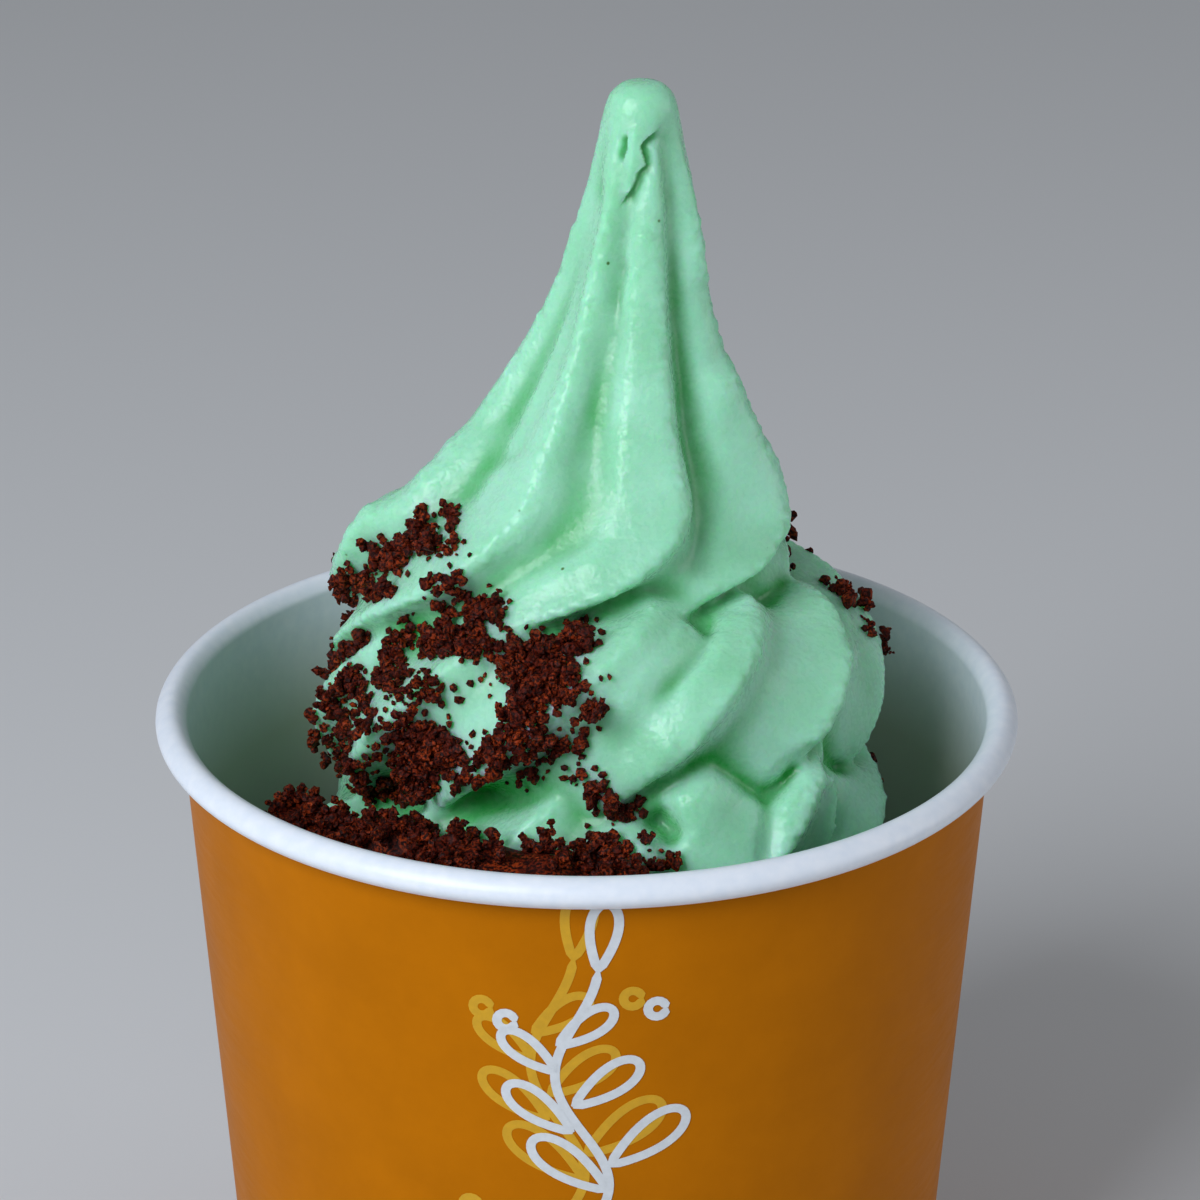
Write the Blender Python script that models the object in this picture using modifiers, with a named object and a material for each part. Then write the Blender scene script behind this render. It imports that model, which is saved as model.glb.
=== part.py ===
"""A paper cup of soft-serve frozen yogurt, sprinkled with dark cake crumbs.

The yogurt is one rope from a star-shaped nozzle.  It fills the cup, climbs in rough
coils that turn anticlockwise, and ends in an upright peak.  Crumbs stick to its front
left side and lie in a heap between the swirl and the wall.

Sizes are in millimetres and are turned into metres as the meshes are made.  The origin
is the middle of the cup's foot, +Z is up and -Y is the side that the crumbs lie on.
"""

import math
import random

import bmesh
import bpy
from mathutils import Matrix, Vector
from mathutils.bvhtree import BVHTree

MM = 0.001

# Cup
CUP_HEIGHT = 85.0
RIM_RADIUS = 45.0
ROLL_RADIUS = 1.65
BOARD = 0.6
WALL_RADIUS = 42.35
WALL_TAPER = 0.07
FLOOR_HEIGHT = 7.5
FOOT_FOLD_HEIGHT = 6.0
SKIRT_FOOT = 1.5
CURL_END = -110.0
GAP = 0.3
CUP_STEPS = 56
ROLL_OUTSIDE_POINTS = 12
ROLL_INSIDE_POINTS = 8

ROLL_CENTRE_RADIUS = RIM_RADIUS - ROLL_RADIUS
ROLL_CENTRE_HEIGHT = CUP_HEIGHT - ROLL_RADIUS

# Yogurt
FILL_HEIGHT = 46.0
FILL_CLEARANCE = 0.6
FILL_EDGE = 3.0
# Level rings of the yogurt inside the coils, going up: radius and height.
CORE_RINGS = ((24.0, 52.0), (20.0, 62.0), (16.0, 80.0), (12.0, 95.0), (6.0, 106.0))
VOXEL = 1.1
YOGURT_TRIANGLES = 4600
SECTION_POINTS = 96

# Level rings of the peak and the top coil, from the tip down: height at the front right,
# how much lower the ring lies at the back left, middle x and y, half width and half
# depth, how deep the grooves are as a share of those, and the azimuth of one rib.
PEAK_RINGS = (
    (150.9, 0.0, 5.5, 0.0, 1.2, 1.2, 0.0, -70.0),
    (149.9, 0.0, 5.4, 0.0, 2.7, 2.7, 0.03, -70.0),
    (148.6, 0.0, 5.35, 0.0, 3.4, 3.4, 0.05, -70.0),
    (143.5, 0.0, 5.4, 0.0, 4.8, 4.8, 0.15, -70.0),
    (138.6, 0.0, 5.35, 0.0, 6.0, 6.0, 0.2, -70.0),
    (128.2, 0.0, 4.4, 0.0, 8.9, 8.8, 0.2, -69.0),
    (117.4, 0.0, 2.75, 0.0, 14.0, 13.6, 0.2, -66.0),
    (112.0, 2.0, 1.1, -0.2, 18.5, 16.8, 0.2, -62.0),
    (108.0, 4.0, -1.0, -0.5, 22.2, 19.2, 0.18, -66.0),
    (104.5, 7.0, -2.1, -0.2, 24.0, 21.0, 0.16, -80.0),
    (102.0, 10.0, -2.8, 0.3, 24.3, 21.5, 0.15, -100.0),
    (100.0, 13.0, -3.3, 0.8, 24.0, 21.0, 0.15, -116.0),
    (98.0, 15.5, -4.2, 1.0, 21.0, 18.5, 0.15, -128.0),
    (95.5, 16.5, -4.2, 1.0, 14.0, 13.0, 0.1, -132.0),
)
PEAK_HIGH_SIDE = math.radians(-60.0)
PEAK_STEPS = 8
PEAK_RIBS = 7
PEAK_GROOVE = 0.55
LAID_GROOVE = 0.36
LAID_DROOP = 8.0

# The coils below it, going down: azimuth, distance from the axis, height, rope radius.
COIL_KNOTS = (
    (-225.0, 14.5, 92.5, 9.5),
    (-270.0, 17.0, 90.0, 11.7),
    (-315.0, 18.3, 88.0, 12.0),
    (-360.0, 19.3, 87.0, 12.2),
    (-405.0, 18.8, 89.5, 12.1),
    (-450.0, 17.8, 90.8, 11.8),
    (-495.0, 17.3, 88.5, 11.8),
    (-540.0, 17.3, 82.5, 11.8),
    (-585.0, 18.0, 77.5, 12.0),
    (-630.0, 19.0, 74.5, 12.0),
    (-675.0, 19.7, 72.0, 12.3),
    (-720.0, 19.8, 71.5, 12.5),
    (-750.0, 20.5, 76.5, 12.8),
    (-780.0, 20.8, 78.0, 12.8),
    (-810.0, 20.8, 75.0, 12.5),
    (-850.0, 20.5, 69.0, 12.3),
    (-900.0, 21.0, 63.0, 12.5),
    (-945.0, 21.8, 60.0, 12.5),
    (-990.0, 22.6, 57.5, 13.0),
    (-1035.0, 23.2, 55.5, 13.0),
    (-1080.0, 23.8, 54.0, 13.5),
    (-1170.0, 24.5, 51.0, 13.8),
    (-1260.0, 24.0, 47.0, 13.5),
)
COIL_STEPS = 20
COIL_RIBS_PER_TURN = 10.5
COIL_RIB_AZIMUTH = math.radians(-65.0 - 360.0)
COIL_RIB_SLANT = math.radians(54.0)
COIL_RIB_DEPTH = 0.26
COIL_RIB_TOP_LOSS = 0.3
COIL_GROOVE = 0.33

# Crumbs on the swirl: azimuth, height, spread, how many and the largest's size.
CRUMB_CLUSTERS = (
    (-148.0, 106.5, 1.6, 4, 2.6),
    (-158.0, 103.5, 2.2, 6, 2.8),
    (-138.0, 104.0, 1.8, 3, 2.0),
    (-175.0, 97.0, 2.6, 3, 2.2),
    (-165.0, 92.0, 2.6, 4, 2.2),
    (-152.0, 93.0, 2.6, 5, 2.4),
    (-118.0, 99.5, 1.8, 5, 3.0),
    (-103.0, 96.5, 2.2, 8, 3.4),
    (-93.0, 99.0, 1.5, 4, 3.0),
    (-100.0, 92.0, 2.2, 7, 3.2),
    (-125.0, 87.5, 2.4, 7, 3.2),
    (-108.0, 87.0, 2.2, 3, 2.4),
    (-83.0, 85.5, 1.6, 4, 2.2),
    (-92.0, 93.0, 1.8, 3, 2.0),
    (-165.0, 84.0, 2.6, 4, 2.4),
    (-150.0, 80.0, 2.6, 4, 2.4),
    (2.0, 92.0, 2.0, 4, 2.4),
    (20.0, 99.0, 1.4, 2, 2.4),
    (-8.0, 77.0, 1.4, 2, 2.2),
)
CLUSTER_SEED = 11
CLUSTER_RADIUS = 30.0
SMALLEST_CRUMB = 0.55
CRUMB_CORNERS = (0.75, 1.2)
CRUMB_REACH = 0.65
SWIRL_CRUMB_RAISE = 0.2
OUTSIDE_SWIRL = 60.0

# Heap of crumbs in the gap between the swirl and the wall, at the front and left. It leans on
# the swirl and falls towards the wall by the slope.
HEAP_START = -168.0
HEAP_END = -76.0
HEAP_STEPS = 20
HEAP_SECTION_POINTS = 12
HEAP_TOP = 83.2
HEAP_SLOPE = 0.3
HEAP_HALF_HEIGHT = 10.5
HEAP_RADIUS = 34.0
HEAP_HALF_WIDTH = 7.5
HEAP_END_SIZE = 0.15
HEAP_END_DROP = 3.0
HEAP_CRUMBS = 48
HEAP_SEED = 23
HEAP_CRUMB_SIZES = (1.8, 3.6)
HEAP_CRUMB_RADII = (27.0, 40.0)
HEAP_END_MARGIN = 2.0
HEAP_CRUMB_RAISE = 0.1
ABOVE_HEAP = 100.0


def smooth_path(knots, steps):
    """Points on a smooth curve through the knots, with the same columns as they have."""
    knots = [Vector(knot) for knot in knots]
    ends = [2 * knots[0] - knots[1]] + knots + [2 * knots[-1] - knots[-2]]
    points = []
    for index in range(1, len(knots)):
        before, start, end, after = ends[index - 1:index + 3]
        for step in range(steps):
            t = step / steps
            points.append(0.5 * (2 * start + (end - before) * t
                                 + (2 * before - 5 * start + 4 * end - after) * t ** 2
                                 + (3 * start - before - 3 * end + after) * t ** 3))
    points.append(knots[-1])
    return points


def rib_depth(turns, groove):
    """0 on a rib's sharp crest and 1 in the rounded groove, which lies after the crest."""
    place = turns % 1.0
    if place < groove:
        return math.sin(0.5 * math.pi * place / groove)
    return math.cos(0.5 * math.pi * (place - groove) / (1.0 - groove))


def peak_sections():
    """Rings of the peak and the top coil, whose ribs sweep round to the left as they end."""
    sections = []
    for ring in smooth_path(PEAK_RINGS, PEAK_STEPS):
        height, droop, middle_x, middle_y, half_x, half_y, depth, azimuth = ring
        laid = min(1.0, max(0.0, droop / LAID_DROOP))
        groove = PEAK_GROOVE + (LAID_GROOVE - PEAK_GROOVE) * laid
        section = []
        for step in range(SECTION_POINTS):
            angle = 2 * math.pi * step / SECTION_POINTS
            turns = (angle - math.radians(azimuth)) * PEAK_RIBS / (2 * math.pi)
            reach = 1 - depth * rib_depth(turns, groove)
            lower = 0.5 * droop * (1 - math.cos(angle - PEAK_HIGH_SIDE))
            section.append(Vector((middle_x + half_x * reach * math.cos(angle),
                                   middle_y + half_y * reach * math.sin(angle),
                                   height - lower)))
        sections.append(section)
    return sections


def coil_sections():
    """Upright sections of the coils, with ribs that slant down to the left."""
    sections = []
    for azimuth, distance, height, rope in smooth_path(COIL_KNOTS, COIL_STEPS):
        azimuth = math.radians(azimuth)
        outward = Vector((math.cos(azimuth), math.sin(azimuth), 0))
        section = []
        for step in range(SECTION_POINTS):
            angle = 2 * math.pi * step / SECTION_POINTS - math.pi
            crest = azimuth - COIL_RIB_AZIMUTH - COIL_RIB_SLANT * angle / math.pi
            turns = crest * COIL_RIBS_PER_TURN / (2 * math.pi)
            depth = COIL_RIB_DEPTH * (1 - COIL_RIB_TOP_LOSS * math.sin(angle))
            radius = rope * (1 - depth * rib_depth(turns, COIL_GROOVE))
            section.append(outward * (distance + radius * math.cos(angle))
                           + Vector((0, 0, height + radius * math.sin(angle))))
        sections.append(section)
    return sections


def wall_inside(height):
    """The wall's inner radius at a height."""
    return WALL_RADIUS - BOARD - WALL_TAPER * (ROLL_CENTRE_HEIGHT - height)


def fill_sections():
    """Level rings of the yogurt that fills the cup and the middle of the coils."""
    low = FLOOR_HEIGHT + FILL_CLEARANCE
    rings = [
        (wall_inside(low) - FILL_CLEARANCE, low),
        (wall_inside(FILL_HEIGHT) - FILL_CLEARANCE, FILL_HEIGHT),
        (wall_inside(FILL_HEIGHT) - FILL_EDGE, FILL_HEIGHT + FILL_EDGE),
        *CORE_RINGS,
    ]
    sections = []
    for radius, height in rings:
        ring = []
        for step in range(SECTION_POINTS):
            angle = 2 * math.pi * step / SECTION_POINTS
            ring.append(Vector((radius * math.cos(angle), radius * math.sin(angle), height)))
        sections.append(ring)
    return sections


def loft(bm, sections):
    """Add a closed tube through the sections: a grid bent round, seamed and capped."""
    across = len(sections[0])
    along = len(sections) - 1
    grid = bmesh.ops.create_grid(bm, x_segments=across, y_segments=along, size=0.5)["verts"]
    for vert in grid:
        column = round((vert.co.x + 0.5) * across) % across
        row = round((vert.co.y + 0.5) * along)
        vert.co = sections[row][column] * MM
    bmesh.ops.remove_doubles(bm, verts=grid, dist=1e-7)
    ends = [edge for edge in bm.edges if edge.is_boundary]
    bmesh.ops.holes_fill(bm, edges=ends, sides=0)


def add_object(name, mesh, material):
    """Put a mesh in the cup's collection as an object with its material."""
    thing = bpy.data.objects.new(name, mesh)
    thing.data.materials.clear()
    thing.data.materials.append(material)
    bpy.data.collections["frozen_yogurt_cup"].objects.link(thing)
    return thing


def add_material(name, colour, roughness):
    """A plain surface with a base colour and a roughness."""
    material = bpy.data.materials.new(name)
    material.use_nodes = True
    shader = material.node_tree.nodes["Principled BSDF"]
    shader.inputs["Base Color"].default_value = (*colour, 1.0)
    shader.inputs["Roughness"].default_value = roughness
    shader.inputs["Metallic"].default_value = 0.0
    return material


def applied(thing):
    """The object's mesh with its modifiers applied."""
    graph = bpy.context.evaluated_depsgraph_get()
    mesh = bpy.data.meshes.new_from_object(thing.evaluated_get(graph))
    thing.modifiers.clear()
    thing.data = mesh
    return mesh


def arc(centre, height, radius, start, end, count):
    """Points (radius, height) on an arc, from one angle to another in degrees."""
    points = []
    for step in range(count):
        angle = math.radians(start + (end - start) * step / (count - 1))
        points.append((centre + radius * math.cos(angle), height + radius * math.sin(angle)))
    return points


def turned(name, profile, closed, material):
    """A profile (radius, height) turned about the cup's axis."""
    bm = bmesh.new()
    verts = [bm.verts.new((radius * MM, 0.0, height * MM)) for radius, height in profile]
    for first, second in zip(verts, verts[1:]):
        bm.edges.new((first, second))
    if closed:
        bm.edges.new((verts[-1], verts[0]))
    mesh = bpy.data.meshes.new(name)
    bm.to_mesh(mesh)
    bm.free()
    thing = add_object(name, mesh, material)
    screw = thing.modifiers.new("turn", "SCREW")
    screw.steps = CUP_STEPS
    screw.render_steps = CUP_STEPS
    screw.use_merge_vertices = True
    screw.merge_threshold = 0.00001
    return thing


def make_cup_wall(material):
    """The tapered side: its top is curled outwards and its foot is folded up inside."""
    fold = BOARD + 2 * GAP
    profile = [
        (wall_inside(0.0) + BOARD, 0.0),
        (wall_inside(0.0) - fold - BOARD, 0.0),
        (wall_inside(FOOT_FOLD_HEIGHT) - fold - BOARD, FOOT_FOLD_HEIGHT),
        (wall_inside(FOOT_FOLD_HEIGHT) - fold, FOOT_FOLD_HEIGHT),
        (wall_inside(BOARD) - fold, BOARD),
        (wall_inside(BOARD), BOARD),
    ]
    profile += arc(ROLL_CENTRE_RADIUS, ROLL_CENTRE_HEIGHT, ROLL_RADIUS,
                   180.0, CURL_END, ROLL_OUTSIDE_POINTS)
    profile += arc(ROLL_CENTRE_RADIUS, ROLL_CENTRE_HEIGHT, ROLL_RADIUS - BOARD,
                   CURL_END, 180.0, ROLL_INSIDE_POINTS)
    turned("cup_wall", profile, True, material)


def make_cup_base(material):
    """The raised floor: a disc whose skirt stands in the fold of the wall's foot."""
    underside = FLOOR_HEIGHT - BOARD
    profile = [
        (0.0, FLOOR_HEIGHT),
        (wall_inside(FLOOR_HEIGHT) - GAP, FLOOR_HEIGHT),
        (wall_inside(SKIRT_FOOT) - GAP, SKIRT_FOOT),
        (wall_inside(SKIRT_FOOT) - GAP - BOARD, SKIRT_FOOT),
        (wall_inside(underside) - GAP - BOARD, underside),
        (0.0, underside),
    ]
    turned("cup_base", profile, False, material)


def make_swirl(material):
    """The bare yogurt: rope, coils and filling fused into one body."""
    bm = bmesh.new()
    for sections in (peak_sections(), coil_sections(), fill_sections()):
        loft(bm, sections)
    mesh = bpy.data.meshes.new("frozen_yogurt")
    bm.to_mesh(mesh)
    bm.free()
    swirl = add_object("frozen_yogurt", mesh, material)
    fuse = swirl.modifiers.new("fuse", "REMESH")
    fuse.mode = "VOXEL"
    fuse.voxel_size = VOXEL * MM
    fuse.adaptivity = 0.0
    settle = swirl.modifiers.new("settle", "SMOOTH")
    settle.factor = 0.5
    settle.iterations = 1
    fused = applied(swirl)
    fused.calc_loop_triangles()
    thin = swirl.modifiers.new("thin", "DECIMATE")
    thin.ratio = YOGURT_TRIANGLES / len(fused.loop_triangles)
    applied(swirl)
    return swirl


def surface(thing):
    """A search tree of an object's faces."""
    bm = bmesh.new()
    bm.from_mesh(thing.data)
    tree = BVHTree.FromBMesh(bm)
    bm.free()
    return tree


def add_crumb(collection, place, size, rng):
    """A rough lump of cake: a turned icosahedron with uneven corners."""
    bm = bmesh.new()
    corners = bmesh.ops.create_icosphere(bm, subdivisions=1, radius=0.5 * size * MM)["verts"]
    for corner in corners:
        corner.co *= rng.uniform(*CRUMB_CORNERS)
    turn = Matrix.Rotation(rng.uniform(0, math.tau), 4, Vector((rng.random(), rng.random(), 0.5)))
    bmesh.ops.transform(bm, matrix=Matrix.Translation(place) @ turn, verts=corners)
    mesh = bpy.data.meshes.new("crumb")
    bm.to_mesh(mesh)
    bm.free()
    collection.objects.link(bpy.data.objects.new("crumb", mesh))


def fuse_crumbs(thing, collection):
    """Join a collection of crumbs to the food that they lie on, then remove them."""
    join = thing.modifiers.new("crumbs", "BOOLEAN")
    join.operation = "UNION"
    join.operand_type = "COLLECTION"
    join.collection = collection
    join.solver = "EXACT"
    applied(thing)
    for crumb in list(collection.objects):
        bpy.data.objects.remove(crumb)
    bpy.data.collections.remove(collection)


def clear_of_wall(place, size):
    """Whether a crumb at this place stays inside the cup's wall and rim."""
    height = place.z / MM
    reach = math.hypot(place.x, place.y) / MM + CRUMB_REACH * size
    return height > CUP_HEIGHT + size or reach < wall_inside(height) - GAP


def scatter_on_swirl(swirl):
    """Crumbs stuck to the swirl in clusters, each dropped level towards the axis."""
    rng = random.Random(CLUSTER_SEED)
    tree = surface(swirl)
    collection = bpy.data.collections.new("swirl_crumbs")
    bpy.context.scene.collection.children.link(collection)
    for azimuth, height, spread, count, largest in CRUMB_CLUSTERS:
        for _ in range(count):
            size = rng.uniform(SMALLEST_CRUMB, 1.0) * largest
            turn = math.radians(azimuth) + rng.gauss(0, spread) / CLUSTER_RADIUS
            level = height + rng.gauss(0, spread)
            outward = Vector((math.cos(turn), math.sin(turn), 0))
            start = (OUTSIDE_SWIRL * outward + Vector((0, 0, level))) * MM
            hit, normal, _, _ = tree.ray_cast(start, -outward)
            place = hit + normal * SWIRL_CRUMB_RAISE * size * MM
            if clear_of_wall(place, size):
                add_crumb(collection, place, size, rng)
    fuse_crumbs(swirl, collection)


def heap_sections():
    """Upright sections of the heap's core, along the gap between swirl and wall."""
    sections = []
    for step in range(HEAP_STEPS + 1):
        along = step / HEAP_STEPS
        azimuth = math.radians(HEAP_START + (HEAP_END - HEAP_START) * along)
        outward = Vector((math.cos(azimuth), math.sin(azimuth), 0))
        taper = HEAP_END_SIZE + (1 - HEAP_END_SIZE) * math.sin(math.pi * along) ** 0.5
        top = HEAP_TOP - HEAP_END_DROP * (1 - along) - HEAP_END_DROP * (1 - taper)
        section = []
        for point in range(HEAP_SECTION_POINTS):
            angle = 2 * math.pi * point / HEAP_SECTION_POINTS
            across = HEAP_HALF_WIDTH * taper * math.cos(angle)
            height = top - HEAP_HALF_HEIGHT * taper * (1 - math.sin(angle)) - HEAP_SLOPE * across
            radius = min(HEAP_RADIUS + across, wall_inside(height) - 2 * GAP)
            section.append(outward * radius + Vector((0, 0, height)))
        sections.append(section)
    return sections


def make_heap(swirl, material):
    """Loose crumbs that have rolled down between the swirl and the wall."""
    bm = bmesh.new()
    loft(bm, heap_sections())
    mesh = bpy.data.meshes.new("crumb_heap")
    bm.to_mesh(mesh)
    bm.free()
    heap = add_object("crumb_heap", mesh, material)
    grown = bpy.data.objects.new("grown_swirl", swirl.data.copy())
    bpy.context.scene.collection.objects.link(grown)
    swell = grown.modifiers.new("swell", "DISPLACE")
    swell.strength = 2 * GAP * MM
    swell.mid_level = 0.0
    applied(grown)
    cut = heap.modifiers.new("cut", "BOOLEAN")
    cut.operation = "DIFFERENCE"
    cut.object = grown
    applied(heap)
    bpy.data.objects.remove(grown)
    return heap


def scatter_on_heap(heap, swirl):
    """Crumbs that show on top of the heap, clear of the swirl and the wall."""
    rng = random.Random(HEAP_SEED)
    tree = surface(heap)
    swirl_tree = surface(swirl)
    collection = bpy.data.collections.new("heap_crumbs")
    bpy.context.scene.collection.children.link(collection)
    for _ in range(HEAP_CRUMBS):
        size = rng.uniform(*HEAP_CRUMB_SIZES)
        azimuth = math.radians(rng.uniform(HEAP_START + HEAP_END_MARGIN,
                                           HEAP_END - HEAP_END_MARGIN))
        radius = rng.uniform(*HEAP_CRUMB_RADII)
        start = Vector((radius * math.cos(azimuth), radius * math.sin(azimuth), ABOVE_HEAP)) * MM
        hit, normal, _, _ = tree.ray_cast(start, Vector((0, 0, -1)))
        if hit is None:
            continue
        place = hit + normal * HEAP_CRUMB_RAISE * size * MM
        near = swirl_tree.find_nearest(place)[3] / MM
        if near > CRUMB_REACH * size + GAP and clear_of_wall(place, size):
            add_crumb(collection, place, size, rng)
    fuse_crumbs(heap, collection)


def keep_largest(thing):
    """Drop loose scraps, so that the object is one body."""
    bm = bmesh.new()
    bm.from_mesh(thing.data)
    unseen = set(bm.verts)
    bodies = []
    while unseen:
        stack = [unseen.pop()]
        body = set(stack)
        while stack:
            vert = stack.pop()
            for edge in vert.link_edges:
                other = edge.other_vert(vert)
                if other in unseen:
                    unseen.remove(other)
                    body.add(other)
                    stack.append(other)
        bodies.append(body)
    largest = max(bodies, key=len)
    scraps = [vert for vert in bm.verts if vert not in largest]
    bmesh.ops.delete(bm, geom=scraps, context="VERTS")
    bm.to_mesh(thing.data)
    bm.free()


def main():
    for thing in list(bpy.data.objects):
        bpy.data.objects.remove(thing)
    bpy.context.scene.collection.children.link(bpy.data.collections.new("frozen_yogurt_cup"))
    printed_board = add_material("printed_board", (0.62, 0.22, 0.01), 0.45)
    white_board = add_material("white_board", (0.78, 0.78, 0.76), 0.55)
    yogurt = add_material("mint_yogurt", (0.28, 0.68, 0.43), 0.4)
    cake = add_material("dark_cake", (0.06, 0.012, 0.006), 0.9)
    make_cup_wall(printed_board)
    make_cup_base(white_board)
    swirl = make_swirl(yogurt)
    heap = make_heap(swirl, cake)
    scatter_on_swirl(swirl)
    scatter_on_heap(heap, swirl)
    keep_largest(swirl)
    keep_largest(heap)


main()
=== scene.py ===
"""Looks for a paper cup of soft-serve frozen yogurt sprinkled with dark cake crumbs.

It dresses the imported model: a finely modelled swirl with an icy surface, loose crumbs at
their true size, a printed paper cup with a rolled rim, and a plain studio.  Sizes are in
millimetres and are turned into metres as the meshes are made.
"""

import math
import random

import bmesh
import bpy
import numpy as np
from bpy.props import FloatProperty, FloatVectorProperty, IntProperty, PointerProperty
from mathutils import Matrix, Vector, noise
from mathutils.bvhtree import BVHTree


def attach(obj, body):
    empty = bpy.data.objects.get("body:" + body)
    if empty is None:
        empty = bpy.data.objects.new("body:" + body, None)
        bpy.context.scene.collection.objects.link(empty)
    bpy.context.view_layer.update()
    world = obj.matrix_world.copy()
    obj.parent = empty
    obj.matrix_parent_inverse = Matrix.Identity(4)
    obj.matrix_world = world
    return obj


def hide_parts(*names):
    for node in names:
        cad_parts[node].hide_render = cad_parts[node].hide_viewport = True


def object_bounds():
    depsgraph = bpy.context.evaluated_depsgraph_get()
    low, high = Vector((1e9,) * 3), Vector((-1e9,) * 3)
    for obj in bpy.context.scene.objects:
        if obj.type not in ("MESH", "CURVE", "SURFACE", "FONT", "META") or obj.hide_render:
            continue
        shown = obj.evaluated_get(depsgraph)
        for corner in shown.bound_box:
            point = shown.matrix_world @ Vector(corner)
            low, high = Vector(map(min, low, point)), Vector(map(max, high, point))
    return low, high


bl_info = {
    "name": "Frozen Yogurt Cup",
    "version": (1, 0, 0),
    "blender": (4, 5, 0),
    "location": "View3D > Sidebar > Yogurt",
    "description": "Dresses a cup of soft-serve frozen yogurt with cake crumbs",
    "category": "Object",
}

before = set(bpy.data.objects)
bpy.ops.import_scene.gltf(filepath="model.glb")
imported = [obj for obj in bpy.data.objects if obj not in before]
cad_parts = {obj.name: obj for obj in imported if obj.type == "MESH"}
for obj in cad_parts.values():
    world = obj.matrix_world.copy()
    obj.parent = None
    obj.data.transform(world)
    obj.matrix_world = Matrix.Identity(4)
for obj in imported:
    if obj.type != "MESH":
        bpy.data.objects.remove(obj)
CAD_LOW, CAD_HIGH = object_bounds()

MM = 0.001
BODY = "root"


def linear(hex_colour):
    """An sRGB hex colour as linear red, green and blue."""
    channels = [int(hex_colour[place:place + 2], 16) / 255 for place in (0, 2, 4)]
    return [c / 12.92 if c <= 0.04045 else ((c + 0.055) / 1.055) ** 2.4 for c in channels]


# Cup, with the same sizes as the imported solids. Its wall narrows by the taper for each
# millimetre down, its rim is a slightly squared roll, and below the rim the board is painted
# greyer further down, a painted shade of the cup's inside
CUP_HEIGHT = 85.0
RIM_RADIUS = CAD_HIGH.x / MM
ROLL_RADIUS = 1.65
BOARD = 0.6
PRINT_LAYER = 0.1
WALL_RADIUS = 42.35
WALL_TAPER = 0.07
FOOT_FOLD_HEIGHT = 6.0
FOLD_GAP = 0.3
CURL_END = -110.0
ROLL_FLATTENING = 0.06
CUP_STEPS = 192
ROLL_CENTRE_RADIUS = RIM_RADIUS - ROLL_RADIUS
ROLL_CENTRE_HEIGHT = CUP_HEIGHT - ROLL_RADIUS
PRINT_TOP = 82.2
EDGE_ANGLE = math.radians(40)
# Painted shade of the board: greyer from the first height down to the second, where the cup's inside
# lies in shade
SHADE_TOP_HEIGHT = 81.5
SHADE_FULL_HEIGHT = 70.0

# Side seam of the cup, at the back: where the outer edge of the lap is, how wide and how high
# the lap shows, and how wide its cut edge is
SEAM_AZIMUTH = math.radians(89.0)
SEAM_LAP = 11.0
SEAM_STEP = 0.3
SEAM_EDGE = 0.15

# Swirl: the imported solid's peak, coils and filling, with a rounder tip and ribs that slant
# more. The peak's rings run on into the top coil, and a path carries the coils below it
SECTION_POINTS = 192
PEAK_RINGS = (  # height, droop, middle x, middle y, half width, half depth, groove, rib azimuth
    (151.0, 0.0, 5.4, 0.0, 1.7, 1.5, 0.0, -70.0),
    (150.2, 0.0, 5.4, 0.0, 2.75, 2.6, 0.0, -70.0),
    (148.8, 0.0, 5.4, 0.0, 3.6, 3.4, 0.02, -70.0),
    (143.5, 0.0, 5.4, 0.0, 4.9, 4.9, 0.13, -70.0),
    (138.6, 0.0, 5.35, 0.0, 6.1, 6.1, 0.17, -70.0),
    (128.2, 0.0, 4.4, 0.0, 8.9, 8.8, 0.2, -69.0),
    (117.4, 0.0, 2.75, 0.0, 14.0, 13.6, 0.2, -66.0),
    (112.0, 2.0, 1.1, -0.2, 18.5, 16.8, 0.2, -62.0),
    (108.0, 4.0, -1.0, -0.5, 22.2, 19.2, 0.18, -66.0),
    (104.5, 7.0, -2.1, -0.2, 24.0, 21.0, 0.16, -80.0),
    (102.0, 10.0, -2.8, 0.3, 24.3, 21.5, 0.15, -100.0),
    (100.0, 13.0, -3.3, 0.8, 24.0, 21.0, 0.15, -116.0),
    (98.0, 15.5, -4.2, 1.0, 21.0, 18.5, 0.15, -128.0),
    (95.5, 16.5, -4.2, 1.0, 14.0, 13.0, 0.1, -132.0),
)
PEAK_HIGH_SIDE = math.radians(-60.0)
PEAK_STEPS = 14
PEAK_RIBS = 7
PEAK_GROOVE = 0.55
LAID_GROOVE = 0.36
PEAK_PROFILE = ((0.0, 0.0), (0.08, 0.25), (0.22, 0.95), (0.42, 1.0), (0.5, 0.7), (0.58, 0.45),
                (0.8, 0.22), (1.0, 0.0))
LAID_DROOP = 8.0
COIL_KNOTS = (  # azimuth, distance from the axis, height, rope radius
    (-225.0, 14.5, 92.5, 9.5),
    (-270.0, 17.0, 90.0, 11.7),
    (-315.0, 18.3, 88.0, 12.0),
    (-360.0, 19.3, 87.0, 12.2),
    (-405.0, 18.8, 89.5, 12.1),
    (-450.0, 17.8, 90.8, 11.8),
    (-495.0, 17.3, 88.5, 11.8),
    (-540.0, 17.3, 82.5, 11.8),
    (-585.0, 18.0, 77.5, 12.0),
    (-630.0, 19.0, 74.5, 12.0),
    (-675.0, 19.7, 72.0, 12.3),
    (-720.0, 19.8, 71.5, 12.5),
    (-750.0, 20.5, 76.5, 12.8),
    (-780.0, 20.8, 78.0, 12.8),
    (-810.0, 20.8, 75.0, 12.5),
    (-850.0, 20.5, 69.0, 12.3),
    (-900.0, 21.0, 63.0, 12.5),
    (-945.0, 21.8, 60.0, 12.5),
    (-990.0, 22.6, 57.5, 13.0),
    (-1035.0, 23.2, 55.5, 13.0),
    (-1080.0, 23.8, 54.0, 13.5),
    (-1170.0, 24.5, 51.0, 13.8),
    (-1260.0, 24.0, 47.0, 13.5),
)
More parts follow.
